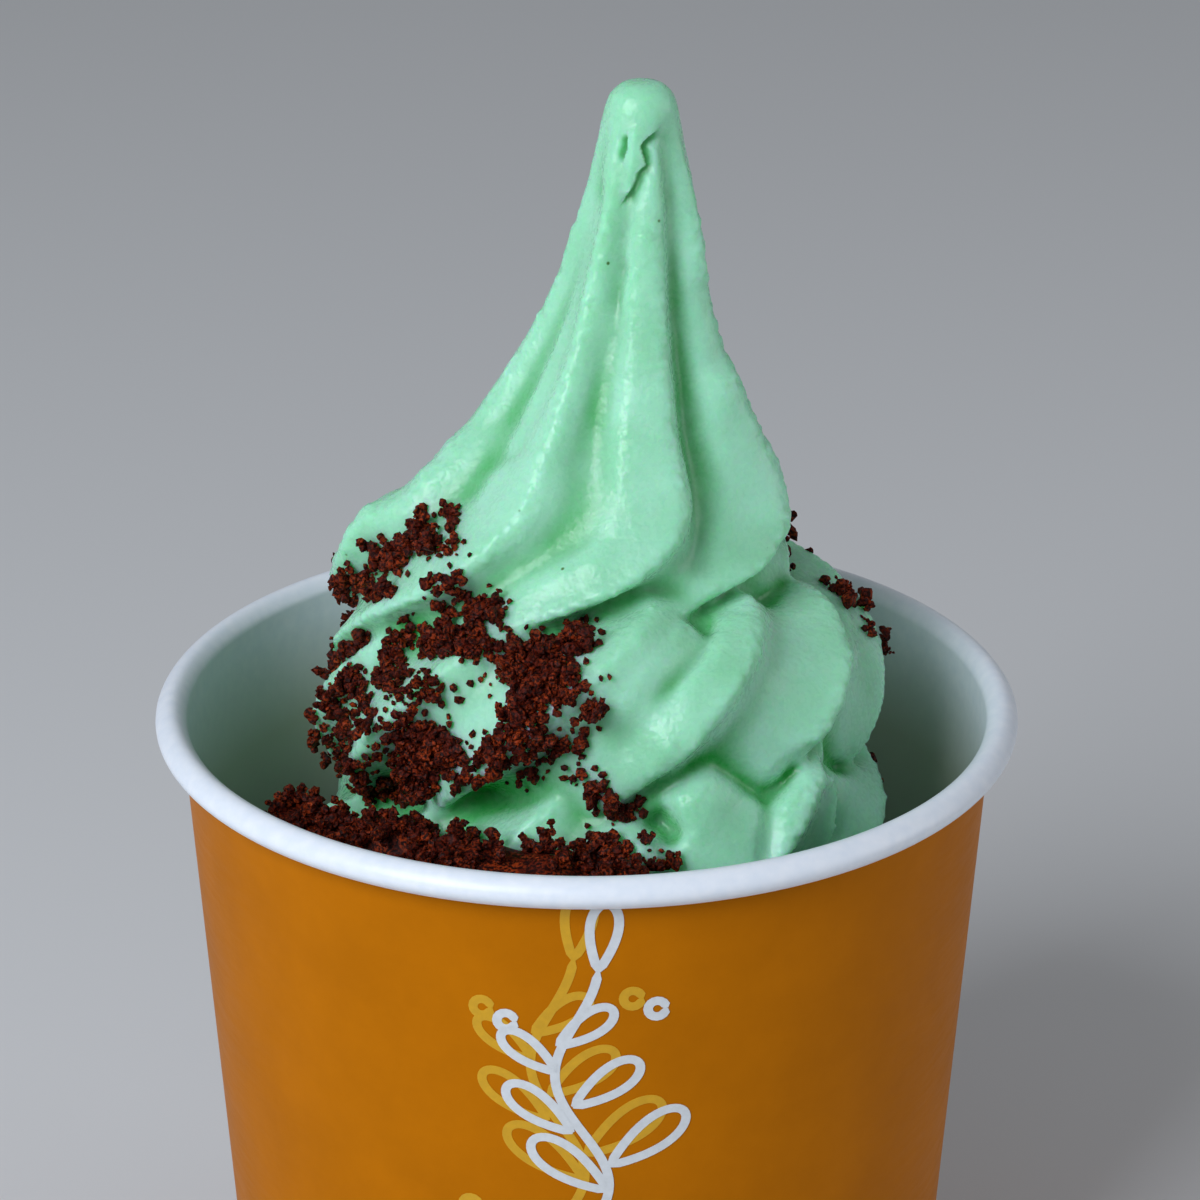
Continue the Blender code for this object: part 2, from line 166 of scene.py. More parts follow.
# Ribs of the coils, which the star nozzle leaves
COIL_STEPS = 24
COIL_RIBS_PER_TURN = 10.5
COIL_RIB_AZIMUTH = math.radians(-72.0 - 360.0)
COIL_RIB_SLANT = math.radians(76.0)
COIL_RIB_DEPTH = 0.26
COIL_RIB_TOP_LOSS = 0.3
COIL_GROOVE = 0.33
# Filling of the cup, which is cut off below the part that shows and carried down in rings
FILL_HEIGHT = 46.0
FILL_CLEARANCE = 0.6
FILL_EDGE = 3.0
FILL_BOTTOM = 8.1
FILL_CUT = 43.0
FILL_RINGS = 5
CORE_RINGS = ((24.0, 52.0), (20.0, 62.0), (16.0, 80.0), (12.0, 95.0), (6.0, 106.0))
# Rounds of smoothing after the coils are fused, and again after the strokes, when the skin
# is rebuilt to clear what they folded, and the triangles that are left at the end
SETTLE_ROUNDS = 7
CLEAN_ROUNDS = 3
SWIRL_TRIANGLES = 195000

CREST_ROUNDS = 40
CREST_RELIEF = 0.3
# Painted shade in the grooves: the rounds of smoothing that find them, the depth of groove that takes
# the full painted shade, and how much more of it the tip's grooves get
GROOVE_SHADE_ROUNDS = 220
GROOVE_SHADE_RELIEF = 0.8
TIP_GROOVE_SHADE = 2.0
# Periods of its roughness, the share of the teeth's height that a flat place has, how fast
# they grow towards a crest, and where and how far all of it fades towards the smooth cap
TOOTH_PERIOD = 0.95
RIPPLE_PERIOD = 2.6
RIPPLE_HEIGHT = 0.1
GRAIN_PERIOD = 0.62
FLAT_TEETH = 0.1
TEETH_POWER = 2.5
CAP_HEIGHT = 147.5
CAP_FADE = 4.0
CAP_TEETH = 0.1

# Lines that the nozzle and the laying left in the swirl, by pixel of the photograph. Each has
# a path, then how far the surface rises and over what width on the left of travel, and the
# same on the right, in millimetres. A long line fades in and out over its two ends, and the
# direction in which it moves the surface is evened along it
STROKE_FADE = 2.5
STROKE_STEPS = 6
STROKE_EVENING = 60
STROKES = (
    (((613, 140), (604, 210), (598, 240), (589, 280), (580, 320), (571, 360), (561, 400),
      (551, 440), (522, 482), (498, 515), (473, 540)), 0.3, 1.5, 0.3, 1.5),
    (((470, 430), (448, 458), (424, 486), (398, 508), (372, 530)), 1.6, 3.2, 1.6, 3.2),
    (((396, 498), (378, 512), (362, 532), (350, 558), (346, 582)), 1.6, 3.0, 1.6, 3.0),
    (((688, 205), (695, 245), (703, 290)), 0.5, 2.5, 0.5, 2.5),
    (((716, 360), (732, 395), (748, 430), (764, 470), (774, 510), (778, 545)),
     1.1, 3.0, 1.1, 3.0),
    (((688, 622), (665, 640), (640, 665), (618, 695), (600, 725)), 1.5, 4.6, 1.2, 4.0),
    (((645, 806), (655, 818), (662, 832)), -1.3, 2.4, -1.3, 2.4),
    (((603, 165), (597, 210), (590, 240), (581, 280), (571, 320), (560, 360), (541, 400),
      (522, 440), (506, 457), (480, 466), (450, 461), (424, 458)), -0.5, 0.9, -0.5, 0.9),
    (((633, 205), (629, 250), (625, 290), (621, 330), (617, 380), (613, 420), (612, 460),
      (614, 495), (612, 514)), 0.2, 2.0, -0.6, 1.7),
    (((670, 112), (672, 160), (673, 200), (675, 250), (679, 300), (682, 350), (688, 400),
      (691, 440), (697, 480), (700, 520), (699, 555), (693, 585)), -0.9, 1.9, -0.9, 1.6),
    (((600, 524), (584, 536), (567, 545), (544, 556), (519, 568), (496, 582), (480, 595)),
     -1.0, 1.9, -1.0, 1.9),
    (((612, 544), (596, 556), (579, 565), (556, 576), (531, 588), (508, 602), (492, 615)),
     0.5, 1.9, 0.5, 1.9),
    (((556, 636), (580, 620), (603, 607), (625, 597), (650, 591), (675, 592), (696, 598),
      (708, 606)), -0.9, 0.9, -1.6, 1.0),
    (((706, 606), (722, 595), (738, 587), (752, 590), (764, 600)), -0.6, 0.9, -0.6, 0.9),
    (((762, 600), (775, 590), (790, 575)), -1.1, 1.3, -1.1, 1.3),
    (((707, 614), (705, 636), (690, 660), (668, 683), (648, 709), (630, 737), (614, 764)),
     -1.1, 1.0, -1.1, 1.3),
    (((738, 612), (730, 640), (712, 672), (690, 702), (668, 732), (648, 762)),
     0.5, 2.4, 0.5, 2.4),
    (((737, 588), (759, 605), (762, 627), (754, 658), (737, 685), (710, 720), (688, 755),
      (666, 782), (648, 804)), 0.4, 0.9, 0.4, 1.2),
    (((807, 579), (838, 605), (850, 636), (849, 667), (834, 707), (807, 747), (774, 787)),
     0.4, 0.9, 0.4, 1.2),
    (((648, 806), (670, 781), (690, 769), (706, 766), (730, 776), (755, 788), (772, 791),
      (784, 783), (794, 767), (808, 757), (824, 751), (838, 766), (852, 762), (868, 750)),
     -1.0, 1.1, -1.0, 1.1),
    (((692, 786), (710, 781), (730, 784), (750, 794)), 0.8, 1.6, 0.8, 1.6),
    (((706, 806), (708, 830), (706, 862)), 1.0, 3.6, 1.0, 2.4),
    (((772, 790), (771, 820), (769, 860)), -1.2, 1.1, -1.2, 1.1),
    (((822, 768), (830, 785), (830, 815), (828, 850)), -1.3, 1.4, 1.1, 2.0),
)
# Pits between the coils, laid out as the lines are, which go straight away from the camera
PITS = (
    (((659, 822), (664, 827), (669, 832)), -4.5, 1.4, -4.5, 1.4),
    (((777, 789), (785, 779), (793, 769)), -1.4, 0.9, -1.4, 0.9),
    (((832, 764), (836, 768), (840, 769)), -1.6, 0.9, -1.6, 0.9),
)
# Lines near which the surface is evened, how wide each is, and how many rounds that takes
EASE_ROUNDS = 90
EASES = (
    (((612, 320), (611, 380), (608, 430), (604, 495)), 1.0),
    (((596, 527), (562, 547), (530, 563), (494, 586)), 1.3),
    (((686, 594), (701, 601), (714, 606)), 1.0),
    (((668, 812), (676, 804), (686, 796), (702, 787)), 1.3),
    (((706, 800), (708, 830), (706, 862)), 2.4),
    (((438, 456), (455, 448), (472, 444), (490, 450)), 2.2),
    (((404, 486), (392, 496), (380, 508)), 2.2),
    (((664, 712), (650, 730), (636, 750), (622, 772)), 1.4),
)
# The tip was pulled off the nozzle: a tongue hangs over the first groove, with a hole on each
# side. It is too fine for the swirl's cells, so the mesh is divided there first
TIP_HEIGHT = 139.0
TIP_CUTS = 3
TIP_STROKES = (
    (((634, 136), (634, 150), (632, 162), (630, 174), (628, 188)), 0.5, 0.8, 0.5, 0.7),
    (((628, 141), (628, 147), (626, 154)), 0.0, 0.3, -0.7, 0.6),
    (((650, 136), (644, 141), (641, 147), (642, 154), (644, 161), (645, 166), (641, 169),
      (637, 173), (635, 178), (633, 184), (629, 191)), -0.75, 1.1, 0.1, 0.3),
)

# Camera: focal length in pixels of the 1200 pixel frame, distance from the middle of the
# cup's mouth, and the angles of its place and aim
PICTURE = 1200
FOCAL_PIXELS = 4294.0
SENSOR = 36.0
CAMERA_DISTANCE = 450.0
CAMERA_ELEVATION = math.radians(24.35)
CAMERA_PITCH = math.radians(1.408)
CAMERA_YAW = math.radians(0.19)
CAMERA_ROLL = math.radians(0.10)

# Patches of crumbs on the swirl, by pixel of the photograph: middle, half width and half
# height, how many clumps, and the most grains in one
CRUMB_PATCHES = (
    (345, 585, 8, 12, 7, 7),
    (326, 668, 6, 18, 8, 7),
    (332, 756, 8, 16, 9, 7),
    (322, 780, 10, 8, 8, 7),
    (372, 716, 14, 14, 8, 6),
    (393, 652, 10, 10, 6, 5),
    (405, 730, 10, 20, 9, 6),
    (446, 770, 16, 12, 9, 6),
    (372, 782, 20, 10, 10, 7),
    (346, 655, 10, 12, 5, 4),
    (449, 514, 5, 9, 5, 9),
    (421, 528, 9, 14, 9, 10),
    (432, 546, 10, 10, 8, 10),
    (396, 557, 15, 14, 16, 11),
    (458, 549, 13, 9, 7, 4),
    (456, 580, 7, 13, 7, 4),
    (431, 583, 9, 5, 4, 4),
    (366, 576, 14, 9, 9, 6),
    (378, 594, 15, 6, 10, 7),
    (343, 592, 4, 12, 6, 6),
    (437, 604, 9, 5, 4, 3),
    (329, 634, 5, 13, 7, 6),
    (364, 634, 7, 6, 5, 8),
    (409, 632, 6, 14, 6, 4),
    (488, 610, 19, 12, 18, 10),
    (455, 643, 32, 16, 34, 12),
    (504, 650, 15, 11, 12, 8),
    (541, 668, 36, 24, 52, 13),
    (582, 643, 12, 14, 16, 11),
    (562, 690, 20, 14, 18, 9),
    (525, 722, 20, 26, 34, 12),
    (493, 755, 11, 20, 14, 9),
    (589, 705, 9, 8, 8, 9),
    (556, 741, 14, 12, 8, 5),
    (397, 676, 19, 14, 16, 7),
    (431, 690, 12, 12, 8, 5),
    (356, 681, 15, 12, 13, 8),
    (333, 700, 9, 9, 6, 6),
    (406, 700, 11, 9, 5, 4),
    (318, 726, 7, 15, 8, 6),
    (347, 733, 8, 22, 10, 6),
    (429, 741, 22, 18, 30, 12),
    (420, 773, 18, 16, 20, 11),
    (455, 749, 11, 10, 8, 9),
    (382, 742, 11, 16, 8, 5),
    (470, 778, 13, 7, 6, 4),
    (353, 764, 11, 18, 12, 7),
    (398, 792, 22, 8, 12, 8),
    (520, 770, 26, 12, 4, 2),
    (590, 745, 12, 18, 4, 2),
    (601, 796, 13, 12, 13, 7),
    (623, 812, 11, 7, 8, 6),
    (637, 800, 3, 8, 3, 2),
    (560, 778, 30, 12, 4, 2),
    (606, 848, 14, 8, 10, 7),
    (622, 852, 10, 8, 8, 6),
    (640, 858, 14, 6, 6, 6),
    (664, 858, 5, 5, 3, 5),
    (646, 838, 8, 5, 3, 3),
)
# Clusters that the photograph shows behind the right edge, and sparse ones on the back and
# the left: azimuth, height, spread, clumps, and the most grains in one
CRUMB_CLUSTERS = (
    (16.0, 101.0, 1.0, 7, 9),
    (22.0, 98.5, 1.2, 5, 6),
    (6.0, 94.5, 1.3, 9, 9),
    (4.0, 91.0, 1.2, 6, 8),
    (2.0, 87.5, 1.0, 4, 5),
    (-2.0, 76.0, 1.2, 5, 5),
    (-5.0, 71.0, 1.2, 5, 5),
    (170.0, 100.0, 2.4, 10, 7),
    (178.0, 88.0, 3.0, 14, 7),
    (160.0, 92.0, 2.6, 8, 5),
    (165.0, 80.0, 2.8, 9, 6),
    (60.0, 96.0, 2.0, 4, 4),
    (120.0, 88.0, 2.6, 5, 3),
)
PATCH_SEED = 5
CLUSTER_SEED = 17
CLUSTER_RADIUS = 30.0
OUTSIDE_SWIRL = 60.0

# A grain of cake is a rough ball. Its width lies between these two, nearer the first for a
# higher power, and grains below the limit get a plainer ball. Single fine grains are strewn
# as far as FINE_REACH times a patch's own size. A clump is grown from grains that touch, no
# higher than CLUMP_HEIGHT, and the first is sunk in the yogurt by a share of its width
GRAIN_SIZES = (0.38, 1.35)
GRAIN_POWER = 1.7
GRAIN_SHAPES = 14
FINE_LIMIT = 0.6
FINE_SIZES = (0.4, 1.0)
FINE_REACH = 1.7
FINE_SHARE = 1.3
FINE_SEED = 41
GRAIN_ROUGHNESS = 0.38
GRAIN_SHARP_ANGLE = math.radians(24)
GRAIN_STRETCH = ((0.7, 1.25), (0.7, 1.25), (0.65, 1.1))
GRAIN_LUMP = 1.4
GRAIN_LUMPS = 3.2
GRAIN_TOUCH = 0.43
CLUMP_LEAN = 0.25
CLUMP_TRIES = 6
CLUMP_HEIGHT = 2.2
SINK = 0.12

# Heap of crumbs between swirl and wall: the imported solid's heap, with its core a little lower
# to make room for the grains on it
HEAP_START = -160.0
HEAP_END = -79.0
HEAP_STEPS = 90
HEAP_SECTION_POINTS = 48
HEAP_TOP = 82.6
HEAP_SLOPE = 0.3
HEAP_HALF_HEIGHT = 10.5
HEAP_RADIUS = 34.0
HEAP_HALF_WIDTH = 7.3
HEAP_END_SIZE = 0.15
HEAP_END_DROP = 3.0
HEAP_LUMP = 2.6
HEAP_LUMP_PERIOD = 5.5
HEAP_CLUMPS = 230
HEAP_CLUMP_GRAINS = 16
HEAP_CLUMP_HEIGHT = 3.3
HEAP_SEED = 29
ABOVE_HEAP = 120.0

# Printed sprays of leaves, each drawn twice: a pale line and a yellow one shifted from it
SPRAY_AZIMUTHS = (-91.0, 29.0, 149.0)
SPRAY_HEIGHT = 58.5
STEM_LENGTH = 31.0
STEM_BEND = 3.2
LEAF_LENGTH = 9.5
LEAF_WIDTH = 4.2
LEAF_ANGLE = math.radians(52.0)
LEAF_PAIRS = 3
LEAF_STEPS = 32
LEAF_FIRST = 0.22
LEAF_SPACING = 0.23
LEAF_SHRINK = 0.14
LEAF_STAGGER = 1.5
TOP_LEAF_ANGLE = 0.12
TOP_LEAF_SIZE = 0.8
STEM_STEPS = 40
DOT_STEPS = 16
DOT_RADIUS = 0.9
DOTS = ((-7.2, 9.5), (7.6, 11.0), (-8.6, -14.0), (7.4, -15.5))
LINE_WIDTH = 0.95
LINE_RAISE = 0.035
LINE_THICKNESS = 0.03
SHADOW_SHIFT = (-2.4, 1.3)

# Sizes of the materials' patterns, in millimetres. Ice crystals and paper fibres are really
# some 0.05 mm wide, too fine to show, so they are drawn ten or more times as coarse. The
# specks in the mint are rare and about 0.3 mm wide, and a cake's pores are of their real size
CLOUD_PERIOD = 9.0
SPECK_SPACING = 5.2
WRINKLE_PERIOD = 0.8
WRINKLE_HEIGHT = 0.14
ICE_PERIOD = 0.6
RED_PERIOD = 0.95
PORE_PERIOD = 0.3
PORE_DEPTH = 0.15
BOARD_FIBRE_PERIOD = 1.4
BOARD_FIBRE_HEIGHT = 0.05
PRINT_FIBRE_PERIOD = 0.9
PRINT_FIBRE_HEIGHT = 0.06
LINE_FIBRE_PERIOD = 0.8
MOTTLE_PERIOD = 11.0
SCRATCH_PERIOD = 7.0
SCRATCH_STRETCH = 9.0

# Colours that the settings don't hold
SPECK_COLOUR = linear("4f7a3a")
# Painted shade in the cake's pores
PORE_SHADE_COLOUR = linear("200806")
BOARD_CLOUD_COLOUR = linear("e9eef5")
# Painted shade of the board inside the cup
SHADED_BOARD_COLOUR = linear("b9bdb0")
DEEP_INK_COLOUR = linear("a55f01")
KEY_LIGHT_COLOUR = linear("f2f7ff")
FILL_LIGHT_COLOUR = linear("fbfbff")
SKY_COLOUR = linear("eef2f7")

# Studio, in metres
FLOOR_RADIUS = 4.0
LIGHT_AIM = (0.0, 0.0, 0.1)
KEY_LIGHT_PLACE = (-0.48, -0.61, 0.62)
KEY_LIGHT_SIZE = 0.5
FILL_LIGHT_PLACE = (0.72, -0.06, 0.26)
FILL_LIGHT_SIZE = 0.4


class CupSettings(bpy.types.PropertyGroup):
    """Colours of the paper cup."""

    ink: FloatVectorProperty(
        name="Ink", description="Orange-yellow ink of the cup's side",
        subtype="COLOR", size=3, min=0, max=1, default=linear("b96c02"))
    board: FloatVectorProperty(
        name="Board", description="White coated board of the rim and the inside",
        subtype="COLOR", size=3, min=0, max=1, default=linear("dde5ef"))
    line: FloatVectorProperty(
        name="Pale line", description="Pale ink of the printed sprays",
        subtype="COLOR", size=3, min=0, max=1, default=linear("d3d8dc"))
    shadow: FloatVectorProperty(
        name="Yellow line", description="Yellow ink behind the pale lines",
        subtype="COLOR", size=3, min=0, max=1, default=linear("cf9c04"))
    line_width: FloatProperty(
        name="Line width", description="Width of a printed line in millimetres",
        min=0.2, max=3.0, default=LINE_WIDTH)


class YogurtSettings(bpy.types.PropertyGroup):
    """Fineness and colours of the swirl."""

    voxel: FloatProperty(
        name="Fineness", description="Size of the cells that fuse the coils, in millimetres",
        min=0.3, max=3.0, default=0.45)
    tooth: FloatProperty(
        name="Tooth", description="Height of the fine teeth along the crests, in millimetres",
        min=0.0, max=1.0, default=0.22)
    crest: FloatVectorProperty(
        name="Crest", description="Pale mint of the crests",
        subtype="COLOR", size=3, min=0, max=1, default=linear("a6e1c4"))
    # Painted shade of the grooves: a darker, fuller green that stands in for the shade in them
    groove_shade: FloatVectorProperty(
        name="Valley", description="Fuller green of the grooves",
        subtype="COLOR", size=3, min=0, max=1, default=linear("34ac4c"))


class CrumbSettings(bpy.types.PropertyGroup):
    """Colours of the cake crumbs and how they are drawn."""

    dark: FloatVectorProperty(
        name="Dark", description="Dark cocoa brown of most grains",
        subtype="COLOR", size=3, min=0, max=1, default=linear("58190a"))
    red: FloatVectorProperty(
        name="Red", description="Orange red of the lighter grains",
        subtype="COLOR", size=3, min=0, max=1, default=linear("a03c14"))
    seed: IntProperty(
        name="Seed", description="Added to the seeds that place the crumbs", default=0)


class StudioSettings(bpy.types.PropertyGroup):
    """Floor and lights."""

    floor: FloatVectorProperty(
        name="Floor", description="Pale floor",
        subtype="COLOR", size=3, min=0, max=1, default=linear("d9dadb"))
    key: FloatProperty(
        name="Key light", description="Power of the soft light at the upper left",
        unit="POWER", min=0, default=8.2)
    fill: FloatProperty(
        name="Fill light", description="Power of the weak light at the right",
        unit="POWER", min=0, default=0.9)
    sky: FloatProperty(
        name="Sky", description="Strength of the even light from all sides",
        min=0, default=0.26)


def give(tree, node, inputs):
    """Give each named input of a node its value, or link another node's output to it."""
    for name, value in inputs.items():
        if isinstance(value, bpy.types.NodeSocket):
            tree.links.new(value, node.inputs[name])
        else:
            node.inputs[name].default_value = value


def add(tree, kind, inputs=None, **settings):
    """Add a node with its settings and its inputs' values and links."""
    node = tree.nodes.new(kind)
    for name, value in settings.items():
        setattr(node, name, value)
    give(tree, node, inputs or {})
    return node


def new_material(name):
    """An empty material, its node tree and its shader."""
    material = bpy.data.materials.new(name)
    material.use_nodes = True
    tree = material.node_tree
    tree.nodes.clear()
    shader = add(tree, "ShaderNodeBsdfPrincipled")
    add(tree, "ShaderNodeOutputMaterial", {"Surface": shader.outputs["BSDF"]})
    return material, tree, shader


def per_metre(period):
    """A texture's scale for a pattern whose period is given in millimetres."""
    return 1.0 / (period * MM)


def object_place(tree):
    """Object coordinates, in metres."""
    return add(tree, "ShaderNodeTexCoord").outputs["Object"]


def mix(tree, factor, first, second):
    """A colour between two, each a colour or another node's output."""
    colours = [c if isinstance(c, bpy.types.NodeSocket) else (*c, 1.0) for c in (first, second)]
    node = add(tree, "ShaderNodeMix", {0: factor, 6: colours[0], 7: colours[1]}, data_type="RGBA")
    return node.outputs[2]


def ramp(tree, value, low, high):
    """A value brought from the range low to high to the range 0 to 1."""
    return add(tree, "ShaderNodeMapRange",
               {"Value": value, "From Min": low, "From Max": high}).outputs["Result"]


def mint_yogurt():
    """Soft-serve frozen yogurt: a dense froth of ice, milk and air.

    Light goes a millimetre or so into it. Its grooves are painted a darker, fuller green than
    its crests, a painted shade of the light lost and scattered in them, and its ice crystals
    make it faintly rough, most of all along the crests, with small glints.
    """
    looks = bpy.context.scene.yogurt_swirl
    material, tree, shader = new_material("mint_soft_serve")
    place = object_place(tree)
    crest = add(tree, "ShaderNodeAttribute", attribute_name="crest").outputs["Fac"]
    groove_shade = add(tree, "ShaderNodeAttribute", attribute_name="groove_shade").outputs["Fac"]
    cloud = add(tree, "ShaderNodeTexNoise",
                {"Vector": place, "Scale": per_metre(CLOUD_PERIOD), "Detail": 3.0}).outputs["Fac"]
    # Painted shade: the deeper the groove, the more the colour goes to the darker, fuller green
    green = mix(tree, groove_shade, looks.crest, looks.groove_shade)
    green = mix(tree, ramp(tree, cloud, 0.35, 0.75), green,
                mix(tree, 0.3, looks.crest, looks.groove_shade))
    speck = add(tree, "ShaderNodeTexVoronoi",
                {"Vector": place, "Scale": per_metre(SPECK_SPACING),
                 "Randomness": 1.0}).outputs["Distance"]
    green = mix(tree, ramp(tree, speck, 0.045, 0.02), green, SPECK_COLOUR)
    wrinkle = add(tree, "ShaderNodeTexNoise",
                  {"Vector": place, "Scale": per_metre(WRINKLE_PERIOD), "Detail": 1.0,
                   "Distortion": 0.2}).outputs["Fac"]
    ice = add(tree, "ShaderNodeTexNoise",
              {"Vector": place, "Scale": per_metre(ICE_PERIOD), "Detail": 1.0}).outputs["Fac"]
    rough = add(tree, "ShaderNodeMath", {0: crest, 1: 0.5, 2: 0.3}, operation="MULTIPLY_ADD")
    wrinkled = add(tree, "ShaderNodeBump",
                   {"Height": wrinkle, "Strength": rough.outputs[0],
                    "Distance": WRINKLE_HEIGHT * MM})
    gloss = add(tree, "ShaderNodeMapRange",
                {"Value": ice, "From Min": 0.35, "From Max": 0.7, "To Min": 0.34, "To Max": 0.2})
    give(tree, shader, {
        "Base Color": green,
        "Roughness": gloss.outputs["Result"],
        "Normal": wrinkled.outputs["Normal"],
        "IOR": 1.34,
        "Subsurface Weight": 1.0,
        "Subsurface Radius": (0.3, 1.2, 0.5),
        "Subsurface Scale": 2.1 * MM,
    })
    return material


def cake_crumb():
    """Crumbled cocoa cake: porous, faintly moist, with redder grains among the dark ones and painted
    shade in its pores.
    """
    looks = bpy.context.scene.yogurt_crumbs
    material, tree, shader = new_material("cocoa_cake_crumb")
    place = object_place(tree)
    patch = add(tree, "ShaderNodeTexVoronoi",
                {"Vector": place, "Scale": per_metre(RED_PERIOD)}).outputs["Color"]
    light = add(tree, "ShaderNodeSeparateColor", {"Color": patch}).outputs["Red"]
    brown = mix(tree, ramp(tree, light, 0.45, 1.1), looks.dark, looks.red)
    pore = add(tree, "ShaderNodeTexNoise",
               {"Vector": place, "Scale": per_metre(PORE_PERIOD), "Detail": 2.0}).outputs["Fac"]
    # Painted shade: the low places of the pores' bump are darkened to a near black brown
    brown = mix(tree, ramp(tree, pore, 0.62, 0.42), brown, PORE_SHADE_COLOUR)
    bump = add(tree, "ShaderNodeBump",
               {"Height": pore, "Strength": 0.8, "Distance": PORE_DEPTH * MM})
    give(tree, shader, {
        "Base Color": brown,
        "Normal": bump.outputs["Normal"],
        "Roughness": 0.55,
        "IOR": 1.45,
        "Specular IOR Level": 0.12,
        "Subsurface Weight": 0.25,
        "Subsurface Radius": (1.0, 0.25, 0.1),
        "Subsurface Scale": 0.5 * MM,
    })
    return material


def coated_board():
    """White paperboard with a thin waxy coat: smooth, with a faint cloudiness of its fibres.

    Below the rim it is painted greyer further down, a painted shade of the cup's inside.
    """
    looks = bpy.context.scene.yogurt_cup
    material, tree, shader = new_material("white_coated_board")
    place = object_place(tree)
    fibre = add(tree, "ShaderNodeTexNoise",
                {"Vector": place, "Scale": per_metre(BOARD_FIBRE_PERIOD), "Detail": 4.0}).outputs["Fac"]
    white = mix(tree, ramp(tree, fibre, 0.3, 0.8), looks.board, BOARD_CLOUD_COLOUR)
    # Painted shade: the board turns greyer from just under the rim downwards
    depth = add(tree, "ShaderNodeSeparateXYZ", {"Vector": place}).outputs["Z"]
    white = mix(tree, ramp(tree, depth, SHADE_TOP_HEIGHT * MM, SHADE_FULL_HEIGHT * MM), white,
                SHADED_BOARD_COLOUR)
    bump = add(tree, "ShaderNodeBump",
               {"Height": fibre, "Strength": 0.1, "Distance": BOARD_FIBRE_HEIGHT * MM})
    give(tree, shader, {
        "Base Color": white,
        "Normal": bump.outputs["Normal"],
        "Roughness": 0.38,
        "IOR": 1.5,
        "Subsurface Weight": 0.15,
        "Subsurface Radius": (1.0, 0.9, 0.8),
        "Subsurface Scale": 0.4 * MM,
    })
    return material


def printed_board():
    """Offset-printed board under a satin varnish.

    Its ink is even but for a faint mottle, and level scratches break up its gloss.
    """
    looks = bpy.context.scene.yogurt_cup
    material, tree, shader = new_material("orange_printed_board")
    place = object_place(tree)
    mottle = add(tree, "ShaderNodeTexNoise",
                 {"Vector": place, "Scale": per_metre(MOTTLE_PERIOD), "Detail": 5.0,
                  "Roughness": 0.65}).outputs["Fac"]
    deep = mix(tree, 0.5, looks.ink, DEEP_INK_COLOUR)
    ink = mix(tree, ramp(tree, mottle, 0.35, 0.7), deep, looks.ink)
    flat = add(tree, "ShaderNodeMapping", {"Vector": place, "Scale": (1.0, 1.0, SCRATCH_STRETCH)})
    scratch = add(tree, "ShaderNodeTexNoise",
                  {"Vector": flat.outputs["Vector"], "Scale": per_metre(SCRATCH_PERIOD), "Detail": 6.0,
                   "Roughness": 0.7}).outputs["Fac"]
    fibre = add(tree, "ShaderNodeTexNoise",
                {"Vector": place, "Scale": per_metre(PRINT_FIBRE_PERIOD), "Detail": 3.0}).outputs["Fac"]
    bump = add(tree, "ShaderNodeBump",
               {"Height": fibre, "Strength": 0.2, "Distance": PRINT_FIBRE_HEIGHT * MM})
    gloss = add(tree, "ShaderNodeMapRange",
                {"Value": scratch, "From Min": 0.3, "From Max": 0.75, "To Min": 0.36,
                 "To Max": 0.5})
    give(tree, shader, {
        "Base Color": ink,
        "Roughness": gloss.outputs["Result"],
        "Normal": bump.outputs["Normal"],
        "IOR": 1.48,
        "Specular IOR Level": 0.04,
    })
    return material


def line_ink(name, colour):
    """Ink printed over the orange: matt, with the board's fibres showing faintly."""
    material, tree, shader = new_material(name)
    fibre = add(tree, "ShaderNodeTexNoise",
                {"Vector": object_place(tree), "Scale": per_metre(LINE_FIBRE_PERIOD),
                 "Detail": 3.0})
    faded = [0.9 * channel for channel in colour]
    shade = mix(tree, ramp(tree, fibre.outputs["Fac"], 0.35, 0.7), faded, colour)
    give(tree, shader, {"Base Color": shade, "Roughness": 0.42})
    return material


def outward_at(azimuth):
    """The level direction away from the cup's axis."""
    return Vector((math.cos(azimuth), math.sin(azimuth), 0))


def smooth_path(knots, steps):
    """Points on a smooth curve through the knots, with the same columns as they have."""
    knots = [Vector(knot) for knot in knots]
    ends = [2 * knots[0] - knots[1]] + knots + [2 * knots[-1] - knots[-2]]
    points = []
    for index in range(1, len(knots)):
        before, start, end, after = ends[index - 1:index + 3]
        for step in range(steps):
            t = step / steps
            points.append(0.5 * (2 * start + (end - before) * t
                                 + (2 * before - 5 * start + 4 * end - after) * t ** 2
                                 + (3 * start - before - 3 * end + after) * t ** 3))
    points.append(knots[-1])
    return points


def rib_depth(turns, groove):
    """0 on a rib's sharp crest and 1 in the rounded groove, which lies after the crest."""
    place = turns % 1.0
    if place < groove:
        return math.sin(0.5 * math.pi * place / groove)
    return math.cos(0.5 * math.pi * (place - groove) / (1.0 - groove))


def upright_depth(turns):
    """Depth of an upright rib's groove: it drops from the crest and climbs to a flat face."""
    places, depths = zip(*PEAK_PROFILE)
    return float(np.interp(turns % 1.0, places, depths))


